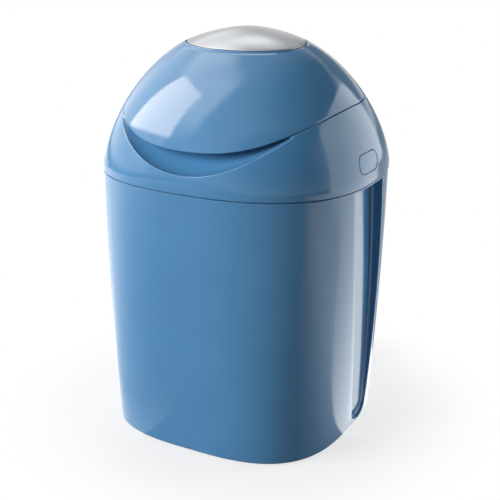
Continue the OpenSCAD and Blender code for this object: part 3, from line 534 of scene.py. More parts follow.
def gloss_plastic(name, colour, roughness=0.12, scuffs=0.0):
    """Glossy moulded plastic: faint flow marks, fine haze, and scuffs towards the floor."""

    def build(tree):
        flow = tree.noise(14, 3)
        haze = tree.noise(90, 4)
        scratch = tree.noise(60, 6, (1, 1, 9)).ramp(0.60, 0.72)
        low = 1 - tree.height().ramp(0.004, 0.05)
        worn = scratch * low * scuffs
        tone = flow.ramp(0.3, 0.7) * 0.7 + worn
        return {
            "Base Color": tone.tones(colour, 0.97, 1.04),
            "Roughness": roughness + haze.ramp(0.35, 0.75) * 0.05 + worn * 0.3,
            "Normal": tree.bump(tree.noise(260, 1), 0.000012),
        }

    return finish_of(name, build)


def satin_plastic(name, colour, roughness=0.45):
    """Satin moulded plastic with a fine spark-eroded grain."""

    def build(tree):
        flow = tree.noise(30, 3)
        fine = tree.noise(1500, 2)
        return {
            "Base Color": flow.ramp(0.3, 0.7).tones(colour, 0.95, 1.03),
            "Roughness": roughness - 0.06 + flow * 0.08 + fine * 0.05,
            "Normal": tree.bump(fine, 0.00003),
        }

    return finish_of(name, build)


def satin_silver(name):
    """Silver lacquer over plastic: metal flakes under a satin clear coat."""

    def build(tree):
        flake = tree.noise(2600, 1)
        cloud = tree.noise(26, 3)
        tone = flake * 0.5 + cloud * 0.5
        return {
            "Base Color": tone.colours((0.25, 0.26, 0.275), (0.31, 0.32, 0.335)),
            "Metallic": 0.75,
            "Roughness": 0.26 + cloud * 0.06,
            "Coat Weight": 0.3,
            "Coat Roughness": 0.12,
            "Normal": tree.bump(flake, 0.000006),
        }

    return finish_of(name, build)


def metal(name, colour, roughness, stretch):
    """Drawn, plated or ground steel with its lines along one axis."""

    def build(tree):
        lines = tree.noise(900, 3, stretch)
        stain = tree.noise(120, 4)
        return {
            "Base Color": stain.ramp(0.3, 0.7).tones(colour, 0.86, 1),
            "Metallic": 1.0,
            "Roughness": roughness + lines * 0.12 + stain * 0.08,
            "Normal": tree.bump(lines, 0.00001),
        }

    return finish_of(name, build)


def rubber(name, colour):
    """Soft black rubber with a dusty bloom."""

    def build(tree):
        bloom = tree.noise(70, 5)
        pores = tree.noise(1800, 2)
        return {
            "Base Color": bloom.ramp(0.35, 0.8).tones(colour, 1, 1.9),
            "Roughness": 0.62 + bloom * 0.2,
            "Normal": tree.bump(pores, 0.00004),
        }

    return finish_of(name, build)


def film_plastic(name, colour):
    """Thin tinted film, gathered in soft pleats, with painted shade that darkens the valleys of the
    pleats.
    """

    def build(tree):
        pleat_and_shade = tree.noise(160, 5, (1, 1, 6))
        return {
            # painted shade: the colour darkens to 0.85 where the pleats' bump is low, in the valleys
            "Base Color": pleat_and_shade.ramp(0.3, 0.7).tones(colour, 0.85, 1),
            "Roughness": 0.22 + pleat_and_shade * 0.15,
            "Normal": tree.bump(pleat_and_shade, 0.0002),
        }

    return finish_of(name, build)


BLUE = (0.075, 0.245, 0.470)
CASING = gloss_plastic("casing_blue", BLUE, scuffs=0.8)
LID = gloss_plastic("lid_blue", BLUE, roughness=0.08)
BUTTON = gloss_plastic("button_blue", shade_of(BLUE, 1.06), roughness=0.14)
SILVER = satin_silver("plate_silver")
INNER = satin_plastic("inner_pale", (0.68, 0.71, 0.73))
DRUM = satin_plastic("drum_pale", (0.72, 0.74, 0.76), 0.38)
CASSETTE = gloss_plastic("cassette_white", (0.82, 0.82, 0.80), roughness=0.22)
FILM = film_plastic("film_green", (0.45, 0.66, 0.56))
RUBBER = rubber("foot_rubber", (0.018, 0.018, 0.020))
GRIPPER = rubber("gripper_rubber", (0.030, 0.032, 0.036))
PIN = metal("pin_steel", (0.56, 0.56, 0.57), 0.22, (1, 40, 40))
SCREW = metal("screw_zinc", (0.62, 0.62, 0.60), 0.26, (4, 4, 4))
SPRING = metal("spring_wire", (0.50, 0.50, 0.52), 0.20, (6, 1, 1))
BLADE = metal("blade_steel", (0.66, 0.66, 0.68), 0.16, (30, 1, 30))
CUTTER = gloss_plastic("cutter_orange", (0.70, 0.22, 0.05), roughness=0.2)

# ---- Tub ----

# Steps of a tub ring along the plain walls and across a grip's lip, sides, corners and floor
WALL_STEPS = 40
EDGE_STEPS = 4
SIDE_STEPS = 3
CORNER_STEPS = 6
FLOOR_STEPS = 8
LEVEL = (1, 0)
GRIP_NARROWEST = 0.02


def grip_down(z):
    """Share of a grip's height that is above a place in it, 0 at its top."""
    return (GRIP_TOP - z) / GRIP_TOP


def grip_edge(edge, z):
    """Distance of a grip's edge behind the middle; an edge is its place at the top, lean and bow."""
    top, lean, bow = edge
    return top + lean * grip_down(z) + bow * grip_down(z) ** 2


def grip_side(wall_x, floor_x, y, toward, sizes, normal):
    """One side of a grip from its floor out to the wall: points as depthwise, sideways and height."""
    corner, edge = sizes
    across, down = normal
    inner_x, outer_x = floor_x + corner, wall_x - edge
    bend = [(floor_x + corner * (1 - c), -corner * (1 - s)) for s, c in quarter(CORNER_STEPS)]
    walk = [(mix(inner_x, outer_x, k / SIDE_STEPS), 0) for k in range(1, SIDE_STEPS)]
    lip = [(wall_x - edge * (1 - s), edge * (1 - c)) for s, c in quarter(EDGE_STEPS)]
    return [(x, y + toward * out * across, -out * down) for x, out in bend + walk + lip]


def half_ring(z, inset=0.0, grow=0.0, share=1.0, normal=LEVEL, depth=None, flat=False):
    """The right half of a tub ring, from its front middle to its rear middle.

    grow widens the grip for the wall around it, share narrows it at its rounded end, depth limits how
    far it reaches in, and flat lays the ring on the wall."""
    reach, square = tub_shape(z, inset)
    front, rear = grip_edge(GRIP_FRONT, z), grip_edge(GRIP_REAR, z)
    middle, half = (front + rear) / 2, (rear - front) / 2 * share + grow
    down = grip_down(z)
    floor_x = tub_shape(z, 0)[0].x - mix(GRIP_DEPTH, GRIP_DEPTH_LOW, down**2) - grow
    corner = min(GRIP_CORNER + grow, half)
    edge = GRIP_EDGE
    lip = edge * normal[0]
    first, last = middle - half - lip, middle + half + lip
    near = grip_side(side_x(reach, square, first), floor_x, middle - half, -1, (corner, edge), normal)
    far = grip_side(side_x(reach, square, last), floor_x, middle + half, 1, (corner, edge), normal)
    flats = [
        (floor_x, *[mix(a, b, k / FLOOR_STEPS) for a, b in zip(near[0][1:], far[0][1:])])
        for k in range(1, FLOOR_STEPS)
    ]
    section = near[::-1] + flats + far
    if flat:
        count = len(section) - 1
        section = [(0, mix(first, last, k / count), 0) for k in range(count + 1)]
    points = []
    for x, y, rise in section:
        wall_x = side_x(*tub_shape(z + rise, inset), y)
        least = wall_x if flat else wall_x - depth if depth is not None else x
        points.append(Vector((max(x, least), y, z + rise)))
    drop = section[0][2]
    first_turn, last_turn = side_turn(reach, square, first), side_turn(reach, square, last)

    def wall(turns, shares):
        return [
            Vector((*oval(reach, square, turn), z + drop * k**4))
            for turn, k in zip(spread(*turns, WALL_STEPS), spread(*shares, WALL_STEPS))
        ]

    front_wall, rear_wall = wall((FRONT, first_turn), (0, 1)), wall((last_turn, -FRONT), (1, 0))
    return front_wall[:-1] + points + rear_wall[1:]


def tub_ring(z, **settings):
    """A whole tub ring, its left half mirrored from the right one."""
    right = half_ring(z, **settings)
    left = [Vector((-p.x, p.y, p.z)) for p in right[-2:0:-1]]
    return right + left


def raised(ring, z):
    """The ring flattened to one height."""
    return [Vector((p.x, p.y, z)) for p in ring]


def tub_rings():
    """The tub's skin in rings: under it, up its wall and grips, over its rim and down inside."""
    top = TUB_TOP - RIM_ROUND
    inside = TUB_TOP - RIM_INSIDE
    floor_z = TUB_FLOOR + TUB_FLOOR_ROUND
    base = FOOT_STAND + BASE_ROUND
    rings = [pole(0, 0, FOOT_STAND, len(tub_ring(base, flat=True)))]
    rings += [
        raised(tub_ring(base, inset=BASE_ROUND * (1 - s), flat=True), base - BASE_ROUND * c)
        for s, c in quarter(6)
    ]
    rings += [
        tub_ring(GRIP_LOW + GRIP_END * (1 - c), share=max(s, GRIP_NARROWEST), normal=(s, c))
        for s, c in quarter(8)
    ]
    rings += [tub_ring(z) for z in spread(GRIP_LOW + GRIP_END, GRIP_TOP, 26)[1:]]
    rings += [tub_ring(GRIP_TOP, depth=d) for d in spread(GRIP_DEPTH, GRIP_EDGE, 4)[1:]]
    rings += [
        raised(tub_ring(GRIP_TOP, depth=GRIP_EDGE * (1 - s)), GRIP_TOP + GRIP_EDGE * (1 - c))
        for s, c in quarter(3)[1:]
    ]
    rings += [
        raised(tub_ring(TUB_TOP, inset=RIM_ROUND * (1 - c), flat=True), top + RIM_ROUND * s)
        for s, c in quarter(3)
    ]
    rings += [
        raised(tub_ring(TUB_TOP, inset=WALL - RIM_ROUND * (1 - s), grow=WALL), top + RIM_ROUND * c)
        for s, c in quarter(3)
    ]
    rings += [tub_ring(z, inset=WALL, grow=WALL) for z in spread(inside, floor_z, 16)]
    for s, c in quarter(4)[1:]:
        inset = WALL + TUB_FLOOR_ROUND * (1 - c)
        rings.append(raised(tub_ring(floor_z, inset=inset, grow=inset), floor_z - TUB_FLOOR_ROUND * s))
    rings.append(pole(0, 0, TUB_FLOOR, len(rings[0])))
    return rings


FOOT_PLACES = [(x, y) for x in (-0.088, 0.088) for y in (-0.0801, 0.08)]
FOOT_R = 0.009
FOOT_TOP = 0.0024
FOOT_ROUND = 0.0003
FOOT_CHAMFER = 0.001
FOOT_GROOVE = [(0.0042, 0), (0.0045, 0.0004), (0.0052, 0.0004), (0.0055, 0)]
SOCKET_R = FOOT_R + 0.0003
SOCKET_Z = (-0.001, 0.0026)
TILT_INNER = 0.020
TILT_OUTER = 0.038
TILT_ROOT_Y = RIM.z - LUG_ROOT
STRIKER_X = RIM.x - GRIP_DEPTH - WALL + 0.0003
STRIKER_THICK = 0.0028
STRIKER_HALF = 0.006
STRIKER_ROOT = GRIP_TOP - 0.016
BEAD = 0.0016
BEAD_TALL = 0.0026
BEAD_SUNK = 0.0006
BEAD_SHORT = 0.0002
BEAD_ROUND = 0.0006
BEAD_Z = BUTTON_Z - 0.008


def striker(side):
    """The upright tab with a bead that a release latch holds."""
    x0, x1 = STRIKER_X - STRIKER_THICK, STRIKER_X
    y0, y1 = BUTTON_Y - STRIKER_HALF, BUTTON_Y + STRIKER_HALF
    tab = block((x0, y0, STRIKER_ROOT), (x1, y1, BUTTON_Z))
    low = (x0 - BEAD, y0 + BEAD_SHORT, BEAD_Z)
    high = (x0 + BEAD_SUNK, y1 - BEAD_SHORT, BEAD_Z + BEAD_TALL)
    rib = block(low, high, BEAD_ROUND)
    piece = joined([tab, rib])
    if side < 0:
        mirrored(piece)
    return piece


def mirrored(piece):
    """Turns a piece into its mirror image on the other side of the bin."""
    for vertex in piece.data.vertices:
        vertex.co.x = -vertex.co.x
    in_edit(piece, face_out)
    return piece


def tub_casing():
    """The tub with its foot sockets, its two hinge lugs and its two strikers."""
    under, top = SOCKET_Z
    socket = [(0, under), (SOCKET_R, under), (SOCKET_R, top), (0, top)]
    shell = cut(wrapped(tub_rings()), *[turned(socket, place) for place in FOOT_PLACES])
    lugs = [
        knuckle(
            x, x + TILT_OUTER - TILT_INNER - BARREL_END, TILT_Y, TILT_Z, -1,
            ((TILT_ROOT_Y, TUB_TOP - TUB_LUG_FAR), (TILT_ROOT_Y, TUB_TOP - LUG_NEAR)),
        )
        for x in (-TILT_OUTER, TILT_INNER + BARREL_END)
    ]
    return joined([shell, *lugs, striker(1), striker(-1)])


def rubber_feet():
    """Four pads with rounded edges and one ring groove each."""
    profile = [
        (0, 0), *FOOT_GROOVE,
        (FOOT_R - FOOT_CHAMFER, 0), (FOOT_R - FOOT_ROUND, FOOT_ROUND), (FOOT_R, FOOT_CHAMFER),
        (FOOT_R, FOOT_TOP - FOOT_ROUND), (FOOT_R - FOOT_ROUND, FOOT_TOP), (0, FOOT_TOP),
    ]
    return joined([turned(profile, place) for place in FOOT_PLACES])


placed(tub_casing(), "tub_casing", "tub", "blue_casing", CASING, "tub")
placed(rubber_feet(), "rubber_feet", "tub", "black_rubber", RUBBER, "feet")

# ---- Head ----


def edge_round(turn):
    """Radius of the scoop's rim, which dies away where the scoop does."""
    return min(SCOOP_EDGE, scoop_in(turn) / 2)


def head_wall(share):
    """A ring of the outer wall, from the head's lower edge to the scoop's rim."""
    return around(lambda turn: dome_point(
        turn, mix(HEAD_Z + HEAD_EDGE, scoop_low(turn) - edge_round(turn), share), 0
    ))


def head_scoop_edge(sine, cosine):
    """A ring of the scoop's rounded rim."""
    def row(turn):
        r = edge_round(turn)
        return dome_point(turn, scoop_low(turn) - r * (1 - sine), r * (1 - cosine))

    return around(row)


def bowl_point(turn, share, thick, top):
    """A point of the scoop's bowl: share runs from its rim to its top behind the lid."""
    s, c = math.sin(share * math.pi / 2), math.cos(share * math.pi / 2)
    low = scoop_low(turn)
    r = edge_round(turn)
    z = low + (top - low) * (1 - c) - thick * c
    return dome_point(turn, z, mix(r, scoop_in(turn), s) + thick)


def bowl(share, thick):
    """A ring of the scoop's bowl, outside or, with a wall's thickness, inside."""
    return around(lambda turn: bowl_point(turn, share, thick, seam_z(turn) - LID_GAP - HEAD_TOP_ROUND))


def head_top(inset, drop):
    """A ring of the head's rounded top edge, just under the lid's seam."""
    return around(lambda turn: dome_point(turn, seam_z(turn) - LID_GAP - drop, scoop_in(turn) + inset))


def head_inner(share):
    """A ring of the inner wall, from the ledge to behind the scoop's rim."""
    return around(lambda turn: dome_point(
        turn, mix(LEDGE_Z + LEDGE_THICK, scoop_low(turn) - WALL, share), WALL
    ))


def head_level(z, inset):
    """A level ring of the head."""
    return around(lambda turn: dome_point(turn, z, inset))


def head_rings():
    """The head's skin in rings: up outside, over the scoop and down inside to the ledge."""
    r = HEAD_TOP_ROUND
    rings = [head_level(HEAD_Z + HEAD_EDGE * (1 - s), HEAD_EDGE * (1 - c)) for s, c in quarter(4)][::-1]
    rings += [head_wall(share) for share in spread(0, 1, 30)[1:]]
    rings += [head_scoop_edge(s, c) for s, c in quarter(5)[1:]]
    rings += [bowl(share, 0) for share in spread(0, 1, 16)[1:]]
    rings += [head_top(r * (1 - c), r * (1 - s)) for s, c in quarter(3)[1:]]
    rings += [head_top(WALL - r * (1 - s), r * (1 - c)) for s, c in quarter(3)]
    rings += [bowl(share, WALL) for share in spread(1, 0, 10)[1:]]
    rings += [head_inner(share) for share in spread(1, 0, 6)[1:]]
    rings += [
        head_level(LEDGE_Z + LEDGE_THICK, WALL + LEDGE_WIDTH - r),
        head_level(LEDGE_Z + LEDGE_THICK - r, WALL + LEDGE_WIDTH),
        head_level(LEDGE_Z + r, WALL + LEDGE_WIDTH),
        head_level(LEDGE_Z, WALL + LEDGE_WIDTH - r),
        head_level(LEDGE_Z, WALL),
        head_level(HEAD_Z + r, WALL),
        head_level(HEAD_Z, WALL - r),
    ]
    rings.append(rings[0])
    return rings


def pill_outline(grow):
    """A rounded rectangle around the button: places and outward normals, front-to-rear and height."""
    r = BUTTON_R + grow
    across, up = BUTTON_W / 2 - BUTTON_R, BUTTON_H / 2 - BUTTON_R
    corners = [(across, up, 0), (-across, up, 90), (-across, -up, 180), (across, -up, 270)]
    points = []
    for index, (y, z, start) in enumerate(corners):
        angles = [math.radians(a) for a in spread(start, start + 90, 10)]
        corner = arc(y, z, r, angles)
        goal = arc(*corners[(index + 1) % 4][:2], r, angles[-1:])[0]
        steps = 8 if index % 2 == 0 else 3
        line = [[mix(a, b, k / steps) for a, b in zip(corner[-1], goal)] for k in range(1, steps)]
        points += corner + line
    return points


def face_x(y, z):
    """Half width of the head at a place on its side."""
    return side_x(*dome_shape(z, 0), y)


def pill_ring(grow, inset=None, x=None, scale=1.0):
    """A ring around the button on the head's side, at an inset from its outside or at a place x."""
    ring = []
    for y, z in pill_outline(grow):
        y, z = BUTTON_Y + y * scale, BUTTON_Z + z * scale
        ring.append(Vector((face_x(y, z) - inset if x is None else x, y, z)))
    return ring


def window_cutter(side):
    """The window that a button moves in, flared to round its outer edge."""
    inner = STRIKER_X + BUTTON_TRAVEL
    rings = [
        pill_ring(0, x=inner, scale=0),
        pill_ring(0, x=inner),
        *[pill_ring(WINDOW_ROUND * (1 - c), inset=WINDOW_ROUND * (1 - s)) for s, c in quarter(4)],
        pill_ring(WINDOW_ROUND, x=BELT.x + WALL),
        pill_ring(0, x=BELT.x + WALL, scale=0),
    ]
    tool = wrapped(rings)
    return tool if side > 0 else mirrored(tool)


def rear_root(z):
    """A point inside the dome's rear wall, where a hinge lug is rooted."""
    return dome_shape(z, LUG_ROOT)[0].z, z


LID_INNER = 0.016
LID_OUTER = 0.028


def head_casing():
    """The head with its button windows and its hinge lugs."""
    shell = cut(wrapped(head_rings()), window_cutter(1), window_cutter(-1))
    tilt_lug = knuckle(
        -TILT_INNER, TILT_INNER, TILT_Y, TILT_Z, 1,
        (rear_root(HEAD_Z + HEAD_LUG_FAR), rear_root(HEAD_Z + LUG_NEAR)),
    )
    lid_lugs = [
        knuckle(
            x, x + LID_OUTER - LID_INNER - BARREL_END, LID_HINGE_Y, LID_HINGE_Z, -1,
            (rear_root(LID_HINGE_Z - LID_LUG_FAR), rear_root(LID_HINGE_Z - LUG_NEAR)),
        )
        for x in (-LID_OUTER, LID_INNER + BARREL_END)
    ]
    return joined([shell, tilt_lug, *lid_lugs])


placed(head_casing(), "head_casing", "head", "blue_casing", CASING, "head_shell")

# ---- Release buttons ----

BODY_PLAY = 0.001
BODY_IN = STRIKER_X + BUTTON_TRAVEL + BODY_PLAY
BODY_SKIRT = 0.008
ARM_IN = STRIKER_HALF + 0.006
ARM_THICK = 0.0026
ARM_HALF_H = 0.005
BAR_THICK = 0.003
NOSE = 0.0025
NOSE_GAP = 0.0006
BAR_X = STRIKER_X - STRIKER_THICK - BEAD - NOSE_GAP - NOSE - BAR_THICK
NOSE_LOW = BEAD_Z - 0.003
NOSE_HALF = 0.005
NOSE_PLAY = 0.0004
TAB_THICK = 0.0016
TAB_PAST = (0.0018, 0.001)
TAB_ROUND = 0.0005
ARM_SUNK, NOSE_SUNK = 0.0003, 0.0006


def button_body():
    """A button's cap: its face follows the head and its edge is rounded."""
    r = BUTTON_ROUND
    grow = -BUTTON_GAP
    rings = [
        pill_ring(grow, x=BODY_IN, scale=0),
        pill_ring(grow, x=BODY_IN),
        *[pill_ring(grow, inset=depth) for depth in spread(BODY_SKIRT, r, 3)],
        *[pill_ring(grow - r * (1 - c), inset=r * (1 - s)) for s, c in quarter(5)[1:]],
        *[pill_ring(grow - r, inset=0, scale=share) for share in spread(1, 0, 10)[1:]],
    ]
    return wrapped(rings)


def button_frame():
    """The tab that keeps a button in the head, its two arms and the latch bar with its nose."""
    half_w, half_h = BUTTON_W / 2 + TAB_PAST[0], BUTTON_H / 2 + TAB_PAST[1]
    low, high = NOSE_LOW, BUTTON_Z + ARM_HALF_H
    parts = [block(
        (BODY_IN, BUTTON_Y - half_w, BUTTON_Z - half_h),
        (BODY_IN + TAB_THICK, BUTTON_Y + half_w, BUTTON_Z + half_h), TAB_ROUND,
    )]
    for y in (BUTTON_Y - ARM_IN - ARM_THICK, BUTTON_Y + ARM_IN):
        parts.append(block((BAR_X, y, BUTTON_Z - ARM_HALF_H), (BODY_IN + ARM_SUNK, y + ARM_THICK, high)))
    parts.append(block((BAR_X, BUTTON_Y - ARM_IN, low), (BAR_X + BAR_THICK, BUTTON_Y + ARM_IN, high)))
    parts.append(block(
        (BAR_X + BAR_THICK - NOSE_SUNK, BUTTON_Y - NOSE_HALF, low),
        (BAR_X + BAR_THICK + NOSE, BUTTON_Y + NOSE_HALF, BEAD_Z - NOSE_PLAY),
    ))
    return parts


for side, hand in ((1, "right"), (-1, "left")):
    button = joined([button_body(), *button_frame()])
    if side < 0:
        mirrored(button)
    placed(button, f"button_{hand}", f"{hand}_button", "blue_button", BUTTON, f"release_button_{hand}")

# ---- Lid ----

DEEP = PLATE_SEAT + WALL
# The lid's edge around the plate: its round down and, as a share of the crown, inwards
LID_EDGE = 0.0011
LID_EDGE_IN = 0.014
LID_EDGE_DROP = 0.0002
LID_WALL_END = 0.982
CROWN_SHARES = (0.4, 0.75)
PLATE_CHAMFER = 1.6 * PLATE_ROUND


def lid_point(turn, share, thick, lift=0.0):
    """A point of the lid's wall at a share of its height; thick is 0 outside and 1 inside."""
    under = thick * mix(WALL, DEEP, share**3)
    z = mix(seam_z(turn) + lift, plate_z(turn) - under, share)
    return dome_point(turn, z, thick * WALL, under)


def lid_wall(share, thick):
    """A ring of the lid's outer or inner wall."""
    return around(lambda turn: lid_point(turn, share, thick, LIP_ROUND))


def lid_lip(inset, rise):
    """A ring of the lid's rolled lower edge."""
    return around(lambda turn: dome_point(turn, seam_z(turn) + rise, inset))


def crown(out, below):
    """A ring of the crown under the plate or on it."""
    return around(lambda turn: crown_point(turn, out, below))


def crown_middle(below):
    """The crown's middle, drawn together to one point."""
    return pole(0, CROWN_Y, HEIGHT - below)


def lid_rings():
    """The lid's skin in rings: from its inner top down, over the lip, and up outside to the seat."""
    r = LIP_ROUND
    rings = [crown_middle(DEEP), *[crown(share, DEEP) for share in CROWN_SHARES]]
    rings += [lid_wall(share, 1) for share in spread(1, 0, 14)]
    rings += [lid_lip(WALL - r * (1 - c), r * (1 - s)) for s, c in quarter(4)[1:]]
    rings += [lid_lip(r * (1 - s), r * (1 - c)) for s, c in quarter(4)]
    rings += [lid_wall(share, 0) for share in spread(0, LID_WALL_END, 44)]
    rings += [crown(1 - LID_EDGE_IN * (1 - c), LID_EDGE * (1 - s) + LID_EDGE_DROP) for s, c in quarter(4)]
    rings += [crown(share, PLATE_SEAT) for share in (1 - LID_EDGE_IN, *CROWN_SHARES[::-1])]
    rings.append(crown_middle(PLATE_SEAT))
    return rings


def lid_casing():
    """The lid with its hinge lug."""
    lug = knuckle(
        -LID_INNER, LID_INNER, LID_HINGE_Y, LID_HINGE_Z, 1,
        (rear_root(LID_HINGE_Z + LID_LUG_FAR), rear_root(LID_HINGE_Z + LUG_NEAR)),
    )
    return joined([wrapped(lid_rings()), lug])


def plate():
    """A domed plate with a crisp edge that is undercut towards its seat."""
    out = 1 - LID_EDGE_IN - PLATE_GAP / PLATE_REACH
    r = PLATE_ROUND / PLATE_REACH
    foot = out - PLATE_UNDERCUT / PLATE_REACH
    rings = [crown_middle(PLATE_THICK), *[crown(share, PLATE_THICK) for share in (*CROWN_SHARES, foot)]]
    rings.append(crown(out, PLATE_CHAMFER))
    rings += [crown(out - r * (1 - c), PLATE_ROUND * (1 - s)) for s, c in quarter(4)]
    rings += [crown(share, 0) for share in spread(out - r, 0, 20)[1:-1]]
    rings.append(crown_middle(0))
    return wrapped(rings)


placed(lid_casing(), "lid_casing", "lid", "blue_lid", LID, "lid_shell")
placed(plate(), "silver_plate", "lid", "satin_plate", SILVER, "top_plate")

# ---- Inside ----

# The liner's flat disc lies over the cassette, and its step and edge rise from the lid's seam
DISC_Z = TUB_TOP + 0.0265 + 0.0024
DISC_R = 0.078
STEP_IN, STEP_RISE = 0.024, 0.004
LINER_EDGE = WALL + 0.0005
EDGE_RISE = 0.006
LINER_THICK = 0.0022


def liner_row(share, rise):
    """A ring between the liner's step and its edge."""
    inset, lift = mix(STEP_IN, LINER_EDGE, share), mix(STEP_RISE, EDGE_RISE, share)
    return around(lambda turn: dome_point(turn, seam_z(turn) + lift + rise, inset, LINER_EDGE))


def liner_blend(share, rise):
    """A ring between the liner's flat disc and its step."""
    def row(turn):
        edge = dome_point(turn, seam_z(turn) + STEP_RISE + rise, STEP_IN, LINER_EDGE)
        disc = Vector((DISC_R * math.cos(turn), DISC_R * math.sin(turn), DISC_Z + rise))
        return mix(disc, edge, share)

    return around(row)


def lid_liner():
    """The liner: its lower face from the middle out to its edge, and its upper face back."""
    rings = [pole(0, 0, DISC_Z), *[liner_blend(share, 0) for share in spread(0, 1, 5)]]
    rings += [liner_row(share, 0) for share in spread(0, 1, 4)[1:]]
    rings += [liner_row(share, LINER_THICK) for share in spread(1, 0, 4)]
    rings += [liner_blend(share, LINER_THICK) for share in spread(1, 0, 5)[1:]]
    rings.append(pole(0, 0, DISC_Z + LINER_THICK))
    return wrapped(rings)


placed(lid_liner(), "lid_liner_shell", "lid", "inner_plastic", INNER, "lid_liner")


def copied(node):
    """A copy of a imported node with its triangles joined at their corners."""
    piece = bpy.data.objects.new(node + "_part", frame["nodes"][node].data.copy())
    bpy.context.scene.collection.objects.link(piece)
    in_edit(piece, merge)
    return piece


def dressed(node, bevel):
    """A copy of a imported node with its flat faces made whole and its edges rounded."""
    piece = copied(node)
    in_edit(piece, lambda: bpy.ops.mesh.dissolve_limited(angle_limit=math.radians(0.5)))
    return bevelled(piece, bevel, 2, 38)


# Node, body, material slot, finish and the round of its edges
DRESSED = [
    ("deck", "head", "inner_plastic", INNER, 0.0004),
    ("bearing_ring", "head", "inner_plastic", INNER, 0.0003),
    ("drum_housing", "head", "inner_plastic", INNER, 0.0004),
    ("film_gripper", "head", "gripper_rubber", GRIPPER, 0.0003),
    ("latch_guide_right", "head", "inner_plastic", INNER, 0.0003),
    ("latch_guide_left", "head", "inner_plastic", INNER, 0.0003),
    ("cutter_rail", "head", "inner_plastic", INNER, 0.0003),
    ("twist_drum", "drum", "drum_plastic", DRUM, 0.0004),
    ("cassette_body", "drum", "cassette_plastic", CASSETTE, 0.0003),
    ("cassette_cap", "drum", "cassette_plastic", CASSETTE, 0.0003),
    ("cutter_slider", "cutter", "cutter_orange", CUTTER, 0.0005),
    ("cutter_blade", "cutter", "blade_steel", BLADE, 0.0001),
    ("lid_seal", "lid", "black_rubber", RUBBER, 0.0006),
    ("tilt_hinge_pin", "tub", "pin_steel", PIN, 0.0003),
    ("lid_hinge_pin", "head", "pin_steel", PIN, 0.0003),
    ("deck_screws", "head", "screw_steel", SCREW, 0.0002),
    ("rail_screws", "head", "screw_steel", SCREW, 0.0002),
]

for node, body, slot, finish, bevel in DRESSED:
    placed(dressed(node, bevel), node + "_part", body, slot, finish, node)

FILM_IN, FILM_OUT = 0.0618, 0.0824
FILM_LOW, FILM_HIGH = 0.2455, 0.2915
FILM_FOLDS = 15
FOLD_STEPS = 4
FOLD_DEPTH = 0.0022
# Each wave of the slack: how far it shifts the folds, its waves around and its start
FOLD_SLACK = ((0.5, 3, 0), (0.35, 7, 1.3))


def film_ring(radius, toward, step):
    """A ring of the film pack's side; its folds run slightly out of level."""
    def row(turn):
        slack = sum(size * math.sin(waves * turn + start) for size, waves, start in FOLD_SLACK)
        fold = math.cos(2 * math.pi * step / FOLD_STEPS + slack)
        r = radius + toward * FOLD_DEPTH * (0.5 - fold / 2)
        z = mix(FILM_LOW, FILM_HIGH, step / (FILM_FOLDS * FOLD_STEPS))
        return Vector((r * math.cos(turn), r * math.sin(turn), z))

    return around(row)


def film_folds():
    """The film as it is packed: a long tube gathered into folds in a ring."""
    steps = range(FILM_FOLDS * FOLD_STEPS + 1)
    rings = [film_ring(FILM_OUT, -1, step) for step in steps]
    rings += [film_ring(FILM_IN, 1, step) for step in reversed(steps)]
    return wrapped([*rings, rings[0]])


placed(film_folds(), "film_folds", "drum", "film", FILM, "film_pack")

for hand, side in (("right", 1), ("left", -1)):
    node = "button_spring_" + hand
    spring = placed(copied(node), node + "_wire", "head", "spring_steel", SPRING, node)
    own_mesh(spring)

# ---- Floor, lamps and camera ----

# The place the lamps point at and their distance, the narrowest fade, and a step between table sheets
MIDDLE = Vector((0, AXIS.y, 0.25))
LAMP_DISTANCE = 3.2
SHARP = 0.001
TABLE_STEP = 0.0004
TABLE_SEEN, TABLE_LIT = (0.80, 0.80, 0.80), (0.32, 0.32, 0.32)
CLEAR_SHARE = 0.72


def ray_share(tree, *rays):
    """1 for the named kinds of ray and 0 for all others."""
    share = tree.node("LightPath", {}, {}, rays[0])
    for ray in rays[1:]:
        share = share.math("MAXIMUM", share, tree.node("LightPath", {}, {}, ray))
    return share


def floor_material():
    """A pale table that is white to the eye and still takes the bin's shadow."""
    material = bpy.data.materials.new("table_white")
    tree = empty_tree(material)
    eye = ray_share(tree, "Is Camera Ray")
    base = eye.colours(TABLE_LIT, TABLE_SEEN)
    table = tree.node("BsdfPrincipled", {}, {"Base Color": base, "Roughness": 0.5})
    glow = tree.node("Emission", {}, {"Color": (1, 1, 1, 1), "Strength": 1.0})
    away = tree.node("VectorMath", {"operation": "LENGTH"}, {0: tree.place()}, 1)
    share = CLEAR_SHARE + away.ramp(0.14, 0.28) * (1 - CLEAR_SHARE)
    output_of(tree, tree.node("MixShader", {}, {0: eye * share, 1: table, 2: glow}))
    return material


def stage_floor():
    """The table that the bin stands on."""
    floor = started(bpy.ops.mesh.primitive_plane_add, size=30)
    floor.name = "table"
    floor.data.materials.append(floor_material())


def studio_world(ambient):
    """A white room: its light on the object is plain, and eyes, gloss and glass see it white."""
    world = bpy.data.worlds.new("room")
    bpy.context.scene.world = world
    tree = empty_tree(world)
    seen = ray_share(tree, "Is Camera Ray", "Is Glossy Ray", "Is Transmission Ray")
    strength = ambient + seen * (1 - ambient)
    glow = tree.node("Background", {}, {"Color": (1, 1, 1, 1), "Strength": strength})
    output_of(tree, glow, "World")


def heading(azimuth, elevation):
    """The direction from the bin to something seen at that azimuth and elevation."""
    a, e = math.radians(azimuth), math.radians(elevation)
    return Vector((math.sin(a) * math.cos(e), -math.cos(a) * math.cos(e), math.sin(e)))


def unseen(obj, *rays):
    """Hides a stage piece from those kinds of ray."""
    for ray in rays:
        setattr(obj, "visible_" + ray, False)


